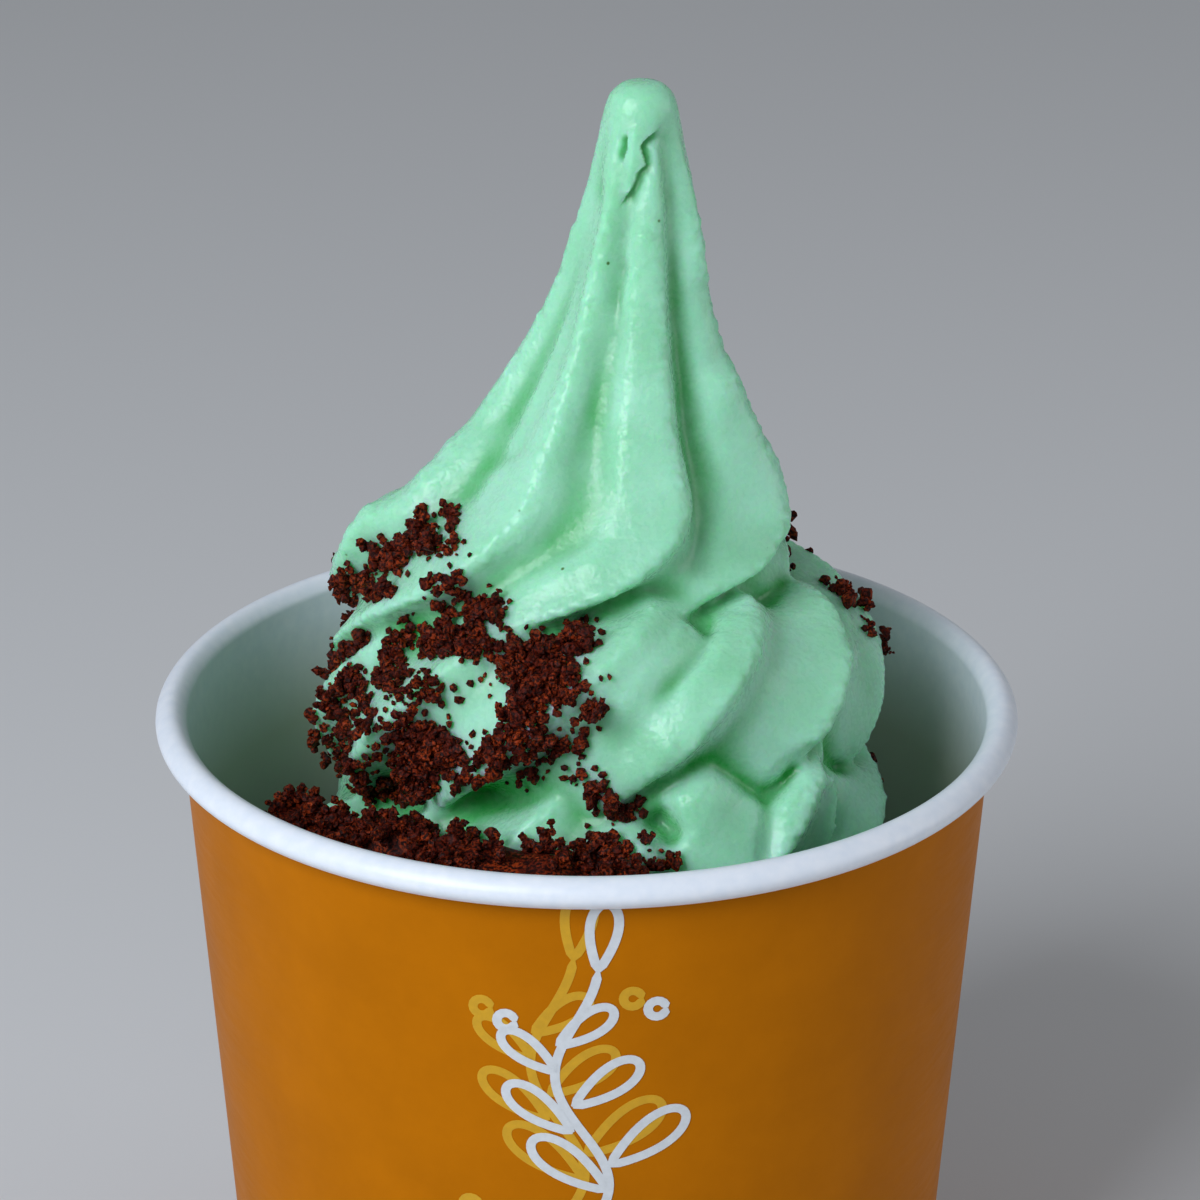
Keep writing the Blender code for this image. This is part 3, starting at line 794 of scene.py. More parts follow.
def peak_sections():
    """Rings of the peak and the top coil, whose ribs sweep round to the left as they end."""
    sections = []
    for ring in smooth_path(PEAK_RINGS, PEAK_STEPS):
        height, droop, middle_x, middle_y, half_x, half_y, depth, azimuth = ring
        laid = min(1.0, max(0.0, droop / LAID_DROOP))
        groove = PEAK_GROOVE + (LAID_GROOVE - PEAK_GROOVE) * laid
        section = []
        for step in range(SECTION_POINTS):
            angle = 2 * math.pi * step / SECTION_POINTS
            turns = (angle - math.radians(azimuth)) * PEAK_RIBS / (2 * math.pi)
            hollow = (1 - laid) * upright_depth(turns) + laid * rib_depth(turns, groove)
            reach = 1 - depth * hollow
            lower = 0.5 * droop * (1 - math.cos(angle - PEAK_HIGH_SIDE))
            section.append(Vector((middle_x + half_x * reach * math.cos(angle),
                                   middle_y + half_y * reach * math.sin(angle),
                                   height - lower)))
        sections.append(section)
    return sections


def coil_sections():
    """Upright sections of the coils, with ribs that slant down to the left."""
    sections = []
    for azimuth, distance, height, rope in smooth_path(COIL_KNOTS, COIL_STEPS):
        azimuth = math.radians(azimuth)
        outward = outward_at(azimuth)
        section = []
        for step in range(SECTION_POINTS):
            angle = 2 * math.pi * step / SECTION_POINTS - math.pi
            crest = azimuth - COIL_RIB_AZIMUTH - COIL_RIB_SLANT * angle / math.pi
            turns = crest * COIL_RIBS_PER_TURN / (2 * math.pi)
            depth = COIL_RIB_DEPTH * (1 - COIL_RIB_TOP_LOSS * math.sin(angle))
            radius = rope * (1 - depth * rib_depth(turns, COIL_GROOVE))
            section.append(outward * (distance + radius * math.cos(angle))
                           + Vector((0, 0, height + radius * math.sin(angle))))
        sections.append(section)
    return sections


def wall_inside(height):
    """The wall's inner radius at a height."""
    return WALL_RADIUS - BOARD - WALL_TAPER * (ROLL_CENTRE_HEIGHT - height)


def ring_points(radius, height, count):
    """Points round the cup's axis."""
    angles = [2 * math.pi * step / count for step in range(count)]
    return [Vector((radius * math.cos(a), radius * math.sin(a), height)) for a in angles]


def core_sections():
    """Level rings of the yogurt that fills the cup and the middle of the coils."""
    rings = [
        (wall_inside(FILL_BOTTOM) - FILL_CLEARANCE, FILL_BOTTOM),
        (wall_inside(FILL_HEIGHT) - FILL_CLEARANCE, FILL_HEIGHT),
        (wall_inside(FILL_HEIGHT) - FILL_EDGE, FILL_HEIGHT + FILL_EDGE),
        *CORE_RINGS,
    ]
    return [ring_points(radius, height, SECTION_POINTS) for radius, height in rings]


def grid_through(bm, rows):
    """Add a sheet through rows of points in millimetres, each as long as the others."""
    across = len(rows[0]) - 1
    along = len(rows) - 1
    verts = bmesh.ops.create_grid(bm, x_segments=across, y_segments=along, size=0.5)["verts"]
    for vert in verts:
        column = round((vert.co.x + 0.5) * across)
        row = round((vert.co.y + 0.5) * along)
        vert.co = rows[row][column] * MM
    return verts


def loft(bm, sections):
    """Add a closed tube through rings of points: a sheet bent round, seamed and capped."""
    verts = grid_through(bm, [section + section[:1] for section in sections])
    bmesh.ops.remove_doubles(bm, verts=verts, dist=1e-7)
    ends = [edge for edge in bm.edges if edge.is_boundary]
    bmesh.ops.holes_fill(bm, edges=ends, sides=0)


def new_object(name, bm, materials):
    """Make a mesh object of a bmesh, shaded smooth, and free the bmesh."""
    mesh = bpy.data.meshes.new(name)
    bm.to_mesh(mesh)
    bm.free()
    for material in materials:
        mesh.materials.append(material)
    mesh.shade_smooth()
    thing = bpy.data.objects.new(name, mesh)
    bpy.context.scene.collection.objects.link(thing)
    return thing


def apply_modifiers(thing):
    """Replace the object's mesh with the one that its modifiers make."""
    graph = bpy.context.evaluated_depsgraph_get()
    old = thing.data
    mesh = bpy.data.meshes.new_from_object(thing.evaluated_get(graph))
    thing.modifiers.clear()
    thing.data = mesh
    mesh.name = thing.name
    bpy.data.meshes.remove(old)


def read_vectors(collection, key):
    """A mesh's coordinates or normals as an array with a row for each."""
    values = np.empty(3 * len(collection), dtype=np.float32)
    collection.foreach_get(key, values)
    return values.reshape(-1, 3).astype(float)


def move_vertices(mesh, places):
    """Put a mesh's vertices at these places, in metres."""
    mesh.vertices.foreach_set("co", places.astype(np.float32).ravel())
    mesh.update()


def read_edges(mesh):
    """The pairs of vertices that the mesh's edges join."""
    edges = np.empty(2 * len(mesh.edges), dtype=np.int32)
    mesh.edges.foreach_get("vertices", edges)
    return edges.reshape(-1, 2)


def smoothed(places, edges, rounds, weight):
    """The places after some rounds, each of which moves them towards their neighbours."""
    first, second = edges[:, 0], edges[:, 1]
    count = len(places)
    degree = np.bincount(first, minlength=count) + np.bincount(second, minlength=count)
    smooth = places.copy()
    for _ in range(rounds):
        for axis in range(3):
            column = smooth[:, axis]
            total = (np.bincount(first, weights=column[second], minlength=count)
                     + np.bincount(second, weights=column[first], minlength=count))
            smooth[:, axis] = column + 0.5 * weight * (total / degree - column)
    return smooth


def relief(places, normals, edges, rounds):
    """How far each point stands out of the surface that its neighbours average to."""
    smooth = smoothed(places, edges, rounds, 1.0)
    return ((places - smooth) * normals).sum(axis=1) / MM


def fuse(thing, voxel, rounds):
    """Rebuild the object as one even skin of the given cell size, and smooth it."""
    remesh = thing.modifiers.new("fuse", "REMESH")
    remesh.mode = "VOXEL"
    remesh.voxel_size = voxel * MM
    remesh.adaptivity = 0.0
    settle = thing.modifiers.new("settle", "SMOOTH")
    settle.factor = 0.5
    settle.iterations = rounds
    apply_modifiers(thing)


def carry_down(bm):
    """Cut off the hidden filling and carry its edge down to the floor in a few rings."""
    everything = bm.verts[:] + bm.edges[:] + bm.faces[:]
    bmesh.ops.bisect_plane(bm, geom=everything, plane_co=(0, 0, FILL_CUT * MM),
                           plane_no=(0, 0, 1), clear_inner=True)
    edges = [edge for edge in bm.edges if edge.is_boundary]
    for step in range(1, FILL_RINGS + 1):
        height = FILL_CUT + (FILL_BOTTOM - FILL_CUT) * step / FILL_RINGS
        made = bmesh.ops.extrude_edge_only(bm, edges=edges)["geom"]
        edges = [item for item in made if isinstance(item, bmesh.types.BMEdge)
                 and item.is_boundary]
        for vert in {vert for edge in edges for vert in edge.verts}:
            radius = (wall_inside(height) - FILL_CLEARANCE) * MM
            level = Vector((vert.co.x, vert.co.y, 0)).normalized() * radius
            vert.co = level + Vector((0, 0, height * MM))
    bmesh.ops.holes_fill(bm, edges=edges, sides=0)
    bmesh.ops.recalc_face_normals(bm, faces=bm.faces)


def divide_tip(bm):
    """Divide the faces at the front of the tip, where the tongue and its holes are."""
    edges = [edge for edge in bm.edges
             if all(vert.co.z > TIP_HEIGHT * MM and vert.co.y < 0 for vert in edge.verts)]
    bmesh.ops.subdivide_edges(bm, edges=edges, cuts=TIP_CUTS, use_grid_fill=True)


def stroke_line(tree, pixels):
    """Points on the surface under a smooth line through pixels, and their evened normals."""
    hits = [hit_by_pixel(tree, column, row) for column, row in smooth_path(pixels, STROKE_STEPS)]
    hits = [(hit / MM, normal) for hit, normal in hits if hit is not None]
    points, normals = (np.array(column) for column in zip(*hits))
    for _ in range(STROKE_EVENING):
        normals[1:-1] = 0.25 * normals[:-2] + 0.5 * normals[1:-1] + 0.25 * normals[2:]
    return points, normals / np.linalg.norm(normals, axis=1)[:, None]


def ease(mesh, eases):
    """Even the surface near lines through pixels."""
    places = read_vectors(mesh.vertices, "co") / MM
    tree = mesh_tree(mesh)
    weight = np.zeros(len(places))
    for pixels, width in eases:
        line, _ = stroke_line(tree, pixels)
        for point in line:
            square = ((places - point) ** 2).sum(axis=1)
            weight = np.maximum(weight, np.exp(-square / width ** 2))
    move_vertices(mesh, smoothed(places, read_edges(mesh), EASE_ROUNDS, weight) * MM)


def sculpt(mesh, strokes, from_camera=False):
    """Raise or sink the surface along each stroke, by its own amount on each side.

    It moves along the line's own normals, or else straight towards the camera.
    """
    places = read_vectors(mesh.vertices, "co") / MM
    normals = read_vectors(mesh.vertex_normals, "vector")
    tree = mesh_tree(mesh)
    move = np.zeros(places.shape)
    for pixels, left_rise, left_width, right_rise, right_width in strokes:
        line, facing = stroke_line(tree, pixels)
        if from_camera:
            facing[:] = -camera_frame()[1]
        travel = np.gradient(line, axis=0)
        left = np.cross(facing, travel)
        steps = np.linalg.norm(np.diff(line, axis=0), axis=1)
        along = np.concatenate(([0.0], np.cumsum(steps)))
        margin = 3 * max(left_width, right_width)
        near = np.all((places > line.min(axis=0) - margin) & (places < line.max(axis=0) + margin),
                      axis=1).nonzero()[0]
        away = places[near][:, None, :] - line[None]
        square = (away ** 2).sum(axis=2)
        closest = square.argmin(axis=1)
        rows = np.arange(len(near))
        distance = np.sqrt(square[rows, closest])
        side = (away[rows, closest] * left[closest]).sum(axis=1)
        rise = np.where(side > 0, left_rise * np.exp(-(distance / left_width) ** 2),
                        right_rise * np.exp(-(distance / right_width) ** 2))
        if along[-1] > 3 * STROKE_FADE:
            end = np.minimum(along, along[-1] - along)[closest]
            rise *= np.clip(end / STROKE_FADE, 0, 1)
        same_side = (normals[near] * facing[closest]).sum(axis=1) > 0.1
        move[near] += (rise * same_side)[:, None] * facing[closest]
    move_vertices(mesh, (places + move) * MM)


def roughen(thing, tooth):
    """Give the swirl its fine teeth, ripples and grain; note its crests and its grooves' painted shade.
    """
    mesh = thing.data
    places = read_vectors(mesh.vertices, "co")
    normals = read_vectors(mesh.vertex_normals, "vector")
    edges = read_edges(mesh)
    crest = np.clip(relief(places, normals, edges, CREST_ROUNDS) / CREST_RELIEF, -1, 1)
    # Painted shade in the grooves, stronger on the tip
    rounds = GROOVE_SHADE_ROUNDS
    green = 1 + TIP_GROOVE_SHADE * np.clip(places[:, 2] / MM - TIP_HEIGHT, 0, 1)
    groove_shade = np.clip(-green * relief(places, normals, edges, rounds) / GROOVE_SHADE_RELIEF, 0, 1)
    shift = np.empty(len(places))
    for index, place in enumerate(places / MM):
        point = Vector(place)
        teeth = noise.noise(point / TOOTH_PERIOD)
        ripple = noise.noise(point / RIPPLE_PERIOD)
        grain = noise.noise(point / GRAIN_PERIOD)
        edge = FLAT_TEETH + (1 - FLAT_TEETH) * max(0.0, crest[index]) ** TEETH_POWER
        cap = min(1.0, max(CAP_TEETH, (CAP_HEIGHT - point.z) / CAP_FADE))
        shift[index] = cap * (tooth * edge * (teeth + 0.5 * grain) + RIPPLE_HEIGHT * ripple)
    move_vertices(mesh, places + normals * shift[:, None] * MM)
    for name, values in (("crest", 0.5 + 0.5 * crest), ("groove_shade", groove_shade)):
        attribute = mesh.attributes.new(name, "FLOAT", "POINT")
        attribute.data.foreach_set("value", values.astype(np.float32))


def make_swirl():
    """Fuse peak, coils and filling into one skin, shape its lines, roughen it and thin it."""
    settings = bpy.context.scene.yogurt_swirl
    bm = bmesh.new()
    for sections in (peak_sections(), coil_sections(), core_sections()):
        loft(bm, sections)
    swirl = new_object("soft_serve_swirl", bm, [])
    fuse(swirl, settings.voxel, SETTLE_ROUNDS)
    sculpt(swirl.data, STROKES)
    ease(swirl.data, EASES)
    sculpt(swirl.data, PITS, from_camera=True)
    fuse(swirl, settings.voxel, CLEAN_ROUNDS)
    bm = bmesh.new()
    bm.from_mesh(swirl.data)
    carry_down(bm)
    divide_tip(bm)
    bm.to_mesh(swirl.data)
    bm.free()
    sculpt(swirl.data, TIP_STROKES)
    roughen(swirl, settings.tooth)
    swirl.data.calc_loop_triangles()
    thin = swirl.modifiers.new("thin", "DECIMATE")
    thin.ratio = min(1.0, SWIRL_TRIANGLES / len(swirl.data.loop_triangles))
    apply_modifiers(swirl)
    swirl.data.materials.append(mint_yogurt())
    swirl.data.shade_smooth()
    return swirl


def mesh_tree(mesh):
    """A search tree of a mesh's faces."""
    bm = bmesh.new()
    bm.from_mesh(mesh)
    tree = BVHTree.FromBMesh(bm)
    bm.free()
    return tree


def camera_frame():
    """The camera's place, in millimetres, and its forward, right and up directions."""
    place = Vector((0, -CAMERA_DISTANCE * math.cos(CAMERA_ELEVATION),
                    CAMERA_DISTANCE * math.sin(CAMERA_ELEVATION) + ROLL_CENTRE_HEIGHT))
    tilt = CAMERA_PITCH - CAMERA_ELEVATION
    forward = Vector((math.sin(CAMERA_YAW) * math.cos(tilt),
                      math.cos(CAMERA_YAW) * math.cos(tilt), math.sin(tilt)))
    level = forward.cross(Vector((0, 0, 1))).normalized()
    upright = level.cross(forward)
    right = level * math.cos(CAMERA_ROLL) + upright * math.sin(CAMERA_ROLL)
    up = upright * math.cos(CAMERA_ROLL) - level * math.sin(CAMERA_ROLL)
    return place, forward, right, up


def hit_by_pixel(tree, column, row):
    """Where the surface shows at a pixel of the photograph, and its normal there."""
    place, forward, right, up = camera_frame()
    middle = PICTURE / 2
    aim = forward + (right * (column - middle) - up * (row - middle)) / FOCAL_PIXELS
    hit, normal, _, _ = tree.ray_cast(place * MM, aim.normalized())
    return hit, normal


def inside_cup(place, size):
    """Whether a grain stays clear of the cup's wall and rim."""
    height = place.z / MM
    reach = math.hypot(place.x, place.y) / MM + 0.6 * size
    return height > CUP_HEIGHT + size or reach < wall_inside(height) - 0.1


def grain_size(rng):
    """The width of a grain: most are small, a few are large."""
    return GRAIN_SIZES[0] + (GRAIN_SIZES[1] - GRAIN_SIZES[0]) * rng.random() ** GRAIN_POWER


def grow_clump(start, normal, grains, rng, reach=CLUMP_HEIGHT):
    """A clump of grains that stick to each other, growing out of the surface at start."""
    size = grain_size(rng)
    clump = [(start + normal * (0.5 - SINK) * size * MM, size)]
    tries = 0
    while len(clump) < grains and tries < CLUMP_TRIES * grains:
        tries += 1
        base, base_size = rng.choice(clump)
        size = grain_size(rng)
        way = Vector((rng.gauss(0, 1), rng.gauss(0, 1), rng.gauss(0, 1))) + CLUMP_LEAN * normal
        place = base + way.normalized() * GRAIN_TOUCH * (base_size + size) * MM
        depth = (place - start).dot(normal) / MM
        if (0.5 - 3 * SINK) * size < depth < reach:
            clump.append((place, size))
    return clump


def patch_grains(tree, seed):
    """Grains of the patches that the photograph shows on the front of the swirl."""
    rng = random.Random(PATCH_SEED + seed)
    grains = []
    for column, row, half_width, half_height, clumps, most in CRUMB_PATCHES:
        for _ in range(clumps):
            reach = math.sqrt(rng.random())
            turn = rng.uniform(0, 2 * math.pi)
            hit, normal = hit_by_pixel(tree, column + half_width * reach * math.cos(turn),
                                       row + half_height * reach * math.sin(turn))
            if hit is not None:
                grains += grow_clump(hit, normal, rng.randint(max(1, most // 3), most), rng)
    return grains


def fine_grains(tree, seed):
    """Single fine grains strewn in and around the patches, thinning out from their middles."""
    rng = random.Random(FINE_SEED + seed)
    grains = []
    for column, row, half_width, half_height, clumps, _ in CRUMB_PATCHES:
        for _ in range(round(FINE_SHARE * clumps)):
            hit, normal = hit_by_pixel(tree, rng.gauss(column, 0.5 * FINE_REACH * half_width),
                                       rng.gauss(row, 0.5 * FINE_REACH * half_height))
            if hit is not None:
                size = rng.uniform(*FINE_SIZES)
                grains.append((hit + normal * (0.5 - SINK) * size * MM, size))
    return grains


def cluster_grains(tree, seed):
    """Grains of the clusters given by azimuth and height, dropped level towards the axis."""
    rng = random.Random(CLUSTER_SEED + seed)
    grains = []
    for azimuth, height, spread, clumps, most in CRUMB_CLUSTERS:
        for _ in range(clumps):
            turn = math.radians(azimuth) + rng.gauss(0, spread) / CLUSTER_RADIUS
            outward = outward_at(turn)
            start = OUTSIDE_SWIRL * outward + Vector((0, 0, height + rng.gauss(0, spread)))
            hit, normal, _, _ = tree.ray_cast(start * MM, -outward)
            if hit is not None:
                grains += grow_clump(hit, normal, rng.randint(max(1, most // 3), most), rng)
    return grains


def grain_shapes(rng, divisions):
    """A few rough balls of unit width, from which every grain is copied."""
    shapes = []
    for index in range(GRAIN_SHAPES):
        bm = bmesh.new()
        bmesh.ops.create_icosphere(bm, subdivisions=divisions, radius=0.5)
        away = Vector((7.0 * index, 0, 0))
        stretch = Vector([rng.uniform(*limits) for limits in GRAIN_STRETCH])
        for vert in bm.verts:
            lump = GRAIN_LUMP * noise.noise(GRAIN_LUMPS * vert.co + away)
            rough = 1 + GRAIN_ROUGHNESS * (lump + rng.uniform(-0.5, 0.5))
            vert.co = vert.co * rough * stretch
        mesh = bpy.data.meshes.new("grain")
        bm.to_mesh(mesh)
        bm.free()
        shapes.append(mesh)
    return shapes


def make_grains(name, grains, seed, divisions):
    """One mesh of all the grains, each a turned copy of one of the shapes."""
    rng = random.Random(seed)
    shapes = grain_shapes(rng, divisions)
    bm = bmesh.new()
    for place, size in grains:
        if not inside_cup(place, size):
            continue
        axis = Vector((rng.gauss(0, 1), rng.gauss(0, 1), rng.gauss(0, 1))).normalized()
        turn = Matrix.Rotation(rng.uniform(0, 2 * math.pi), 4, axis)
        copy = rng.choice(shapes).copy()
        copy.transform(Matrix.Translation(place) @ turn @ Matrix.Scale(size * MM, 4))
        bm.from_mesh(copy)
        bpy.data.meshes.remove(copy)
    for shape in shapes:
        bpy.data.meshes.remove(shape)
    crumbs = new_object(name, bm, [cake_crumb()])
    crumbs.data.set_sharp_from_angle(angle=GRAIN_SHARP_ANGLE)
    return crumbs


def heap_sections():
    """Upright sections of the heap's core, along the gap between swirl and wall."""
    sections = []
    for step in range(HEAP_STEPS + 1):
        along = step / HEAP_STEPS
        azimuth = math.radians(HEAP_START + (HEAP_END - HEAP_START) * along)
        outward = outward_at(azimuth)
        taper = HEAP_END_SIZE + (1 - HEAP_END_SIZE) * math.sin(math.pi * along) ** 0.5
        top = HEAP_TOP - HEAP_END_DROP * (1 - along) - HEAP_END_DROP * (1 - taper)
        section = []
        for point in range(HEAP_SECTION_POINTS):
            angle = 2 * math.pi * point / HEAP_SECTION_POINTS
            across = HEAP_HALF_WIDTH * taper * math.cos(angle)
            height = top - HEAP_HALF_HEIGHT * taper * (1 - math.sin(angle)) - HEAP_SLOPE * across
            radius = HEAP_RADIUS + across
            place = outward * radius + Vector((0, 0, height))
            lump = HEAP_LUMP * noise.noise(place / HEAP_LUMP_PERIOD) * taper
            radius = min(radius + lump, wall_inside(height) - FOLD_GAP)
            section.append(outward * radius + Vector((0, 0, height + lump)))
        sections.append(section)
    return sections


def heap_grains(tree, seed):
    """Grains all over the top of the heap."""
    rng = random.Random(HEAP_SEED + seed)
    grains = []
    for _ in range(HEAP_CLUMPS):
        azimuth = math.radians(rng.uniform(HEAP_START + 1, HEAP_END - 1))
        radius = rng.uniform(HEAP_RADIUS - HEAP_HALF_WIDTH, HEAP_RADIUS + HEAP_HALF_WIDTH)
        start = Vector((radius * math.cos(azimuth), radius * math.sin(azimuth), ABOVE_HEAP))
        hit, normal, _, _ = tree.ray_cast(start * MM, Vector((0, 0, -1)))
        if hit is not None:
            most = rng.randint(2, HEAP_CLUMP_GRAINS)
            grains += grow_clump(hit, normal, most, rng, HEAP_CLUMP_HEIGHT)
    return grains


def arc(centre, height, radius, start, end, count):
    """Points (radius, height) on an arc, from one angle to another in degrees."""
    points = []
    for step in range(count):
        angle = math.radians(start + (end - start) * step / (count - 1))
        flat = 1 - ROLL_FLATTENING * math.sin(2 * angle) ** 2
        points.append((centre + radius * flat * math.cos(angle),
                       height + radius * flat * math.sin(angle)))
    return points


def turned(name, profile, materials):
    """A closed profile (radius, height) turned about the cup's axis, with the side seam."""
    bm = bmesh.new()
    verts = [bm.verts.new((radius * MM, 0.0, height * MM)) for radius, height in profile]
    edges = [bm.edges.new(pair) for pair in zip(verts, verts[1:] + verts[:1])]
    bmesh.ops.spin(bm, geom=verts + edges, cent=(0, 0, 0), axis=(0, 0, 1),
                   angle=2 * math.pi, steps=CUP_STEPS, use_merge=True)
    bmesh.ops.remove_doubles(bm, verts=bm.verts, dist=1e-7)
    bmesh.ops.recalc_face_normals(bm, faces=bm.faces)
    for vert in bm.verts:
        lap(vert)
    thing = new_object(name, bm, materials)
    thing.data.set_sharp_from_angle(angle=EDGE_ANGLE)
    return thing


def lap(vert):
    """Move a point of the wall as the overlap at the side seam does."""
    radius = math.hypot(vert.co.x, vert.co.y) / MM
    height = vert.co.z / MM
    if radius < ROLL_RADIUS:
        return
    azimuth = math.atan2(vert.co.y, vert.co.x)
    past = ((azimuth - SEAM_AZIMUTH) % (2 * math.pi)) * radius
    column = 2 * math.pi * radius / CUP_STEPS
    raised = 0.0
    if past < SEAM_LAP:
        raised = SEAM_STEP * (1 - past / SEAM_LAP) ** 2
    elif past > 2 * math.pi * radius - column:
        azimuth = SEAM_AZIMUTH - SEAM_EDGE / radius
    if height > PRINT_TOP:
        raised *= -0.5
    vert.co.x = (radius + raised) * MM * math.cos(azimuth)
    vert.co.y = (radius + raised) * MM * math.sin(azimuth)


def make_board():
    """White board of the cup: its wall, rolled rim and folded foot."""
    fold = BOARD + 2 * FOLD_GAP
    outside = BOARD - PRINT_LAYER
    profile = [
        (wall_inside(0.0) + outside, 0.0),
        (wall_inside(0.0) - fold - BOARD, 0.0),
        (wall_inside(FOOT_FOLD_HEIGHT) - fold - BOARD, FOOT_FOLD_HEIGHT),
        (wall_inside(FOOT_FOLD_HEIGHT) - fold, FOOT_FOLD_HEIGHT),
        (wall_inside(BOARD) - fold, BOARD),
        (wall_inside(BOARD), BOARD),
    ]
    for height in range(10, 81, 10):
        profile.append((wall_inside(height), height))
    profile += arc(ROLL_CENTRE_RADIUS, ROLL_CENTRE_HEIGHT, ROLL_RADIUS, 180.0, CURL_END, 30)
    profile += arc(ROLL_CENTRE_RADIUS, ROLL_CENTRE_HEIGHT, ROLL_RADIUS - BOARD, CURL_END, 180.0, 16)
    for height in range(80, 9, -10):
        profile.append((wall_inside(height) + outside, height))
    return turned("paper_cup_board", profile, [coated_board()])


def make_print_layer():
    """The printed outer face of the board, from the foot to under the rim."""
    heights = [0.0] + [10.0 * step for step in range(1, 8)] + [78.0, PRINT_TOP]
    outer = [(wall_inside(height) + BOARD, height) for height in heights]
    inner = [(wall_inside(height) + BOARD - 2 * PRINT_LAYER, height) for height in heights]
    return turned("printed_cup_side", outer + inner[::-1], [printed_board()])


def on_wall(azimuth, across, height, raise_by):
    """A point on the cup's side, from its place on the flat sheet, in millimetres."""
    radius = wall_inside(height) + BOARD
    turn = math.radians(azimuth) + across / radius
    radius += raise_by
    return Vector((radius * math.cos(turn), radius * math.sin(turn), height))


def leaf_outline(base, angle, size):
    """A leaf drawn in one line: up one side to the tip, and back down the other."""
    length = LEAF_LENGTH * size
    width = LEAF_WIDTH * size
    along = Vector((math.sin(angle), math.cos(angle)))
    side = Vector((along.y, -along.x))
    points = []
    for step in range(LEAF_STEPS + 1):
        t = step / LEAF_STEPS
        reach = math.sin(math.pi * t)
        belly = math.sin(2 * math.pi * t) * (1 - 0.25 * reach)
        points.append(base + along * length * reach + side * 0.5 * width * belly)
    return points


def spray_lines():
    """Lines of a leafy spray on the flat sheet, about its own middle."""
    lines = []
    stem = []
    for step in range(STEM_STEPS + 1):
        t = step / STEM_STEPS
        height = STEM_LENGTH * (t - 0.5)
        stem.append(Vector((STEM_BEND * math.sin(2.4 * math.pi * t) * (1 - 0.4 * t), height)))
    lines.append(stem)
    for pair in range(LEAF_PAIRS):
        share = LEAF_FIRST + LEAF_SPACING * pair
        base = stem[round(STEM_STEPS * share)]
        size = 1 - LEAF_SHRINK * pair
        for side in (-1, 1):
            start = base + Vector((0, LEAF_STAGGER * side))
            lines.append(leaf_outline(start, side * LEAF_ANGLE, size))
    lines.append(leaf_outline(stem[-1], TOP_LEAF_ANGLE, TOP_LEAF_SIZE))
    for across, height in DOTS:
        angles = [2 * math.pi * step / DOT_STEPS for step in range(DOT_STEPS + 1)]
        lines.append([Vector((across + DOT_RADIUS * math.cos(angle),
                              height + DOT_RADIUS * math.sin(angle))) for angle in angles])
    return lines


def add_line(bm, azimuth, line, shift, width, raise_by):
    """Add one printed line: a thin strip on the wall with rounded ends."""
    rows = []
    count = len(line)
    lengths = [0.0]
    for before, after in zip(line, line[1:]):
        lengths.append(lengths[-1] + (after - before).length)
    for index, point in enumerate(line):
        ahead = line[min(index + 1, count - 1)] - line[max(index - 1, 0)]
        side = Vector((ahead.y, -ahead.x)).normalized()
        to_end = min(lengths[index], lengths[-1] - lengths[index])
        half = 0.5 * width
        if to_end < half:
            half = math.sqrt(max(0.04, half * half - (half - to_end) ** 2))
        row = []
        for place in (-1, -0.33, 0.33, 1):
            flat = point + Vector(shift) + side * half * place
            row.append(on_wall(azimuth, flat.x, SPRAY_HEIGHT + flat.y, raise_by))
        rows.append(row)
    grid_through(bm, rows)


def make_lines(name, shift, raise_by, material):
    """All the lines of one ink, on every spray, as thin raised strips."""
    settings = bpy.context.scene.yogurt_cup
    bm = bmesh.new()
    for azimuth in SPRAY_AZIMUTHS:
        for line in spray_lines():
            add_line(bm, azimuth, line, shift, settings.line_width, raise_by)
    for face in bm.faces:
        middle = face.calc_center_median()
        if face.normal.dot(Vector((middle.x, middle.y, 0))) < 0:
            face.normal_flip()
    bmesh.ops.solidify(bm, geom=bm.faces[:], thickness=LINE_THICKNESS * MM)
    lines = new_object(name, bm, [material])
    lines.data.set_sharp_from_angle(angle=EDGE_ANGLE)
    return lines


def place_piece(piece, slot, *nodes):
    """Let a piece ride on the cup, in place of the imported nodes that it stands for."""
    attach(piece, BODY)
    if nodes:
        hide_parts(*nodes)


class YOGURT_OT_cup(bpy.types.Operator):
    """Model the paper cup: its white board and its printed side"""

    bl_idname = "yogurt.cup"
    bl_label = "Paper Cup"

    def execute(self, context):
        place_piece(make_board(), "white_board", "cup_wall")
        place_piece(make_print_layer(), "printed_board", "cup_wall")
        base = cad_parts["cup_base"]
        base.data.materials.clear()
        base.data.materials.append(coated_board())
        return {"FINISHED"}


class YOGURT_OT_print(bpy.types.Operator):
    """Print the sprays of leaves on the cup's side"""

    bl_idname = "yogurt.print"
    bl_label = "Printed Sprays"

    def execute(self, context):
        colours = context.scene.yogurt_cup
        yellow = line_ink("yellow_line_ink", colours.shadow)
        pale = line_ink("pale_line_ink", colours.line)
        under = make_lines("yellow_print_lines", SHADOW_SHIFT, LINE_RAISE, yellow)
        place_piece(under, "printed_board")
        over = make_lines("pale_print_lines", (0.0, 0.0), 2 * LINE_RAISE, pale)
        place_piece(over, "printed_board")
        return {"FINISHED"}


class YOGURT_OT_swirl(bpy.types.Operator):
    """Model the soft-serve swirl"""

    bl_idname = "yogurt.swirl"
    bl_label = "Swirl"

    def execute(self, context):
        place_piece(make_swirl(), "mint_yogurt", "frozen_yogurt")
        return {"FINISHED"}


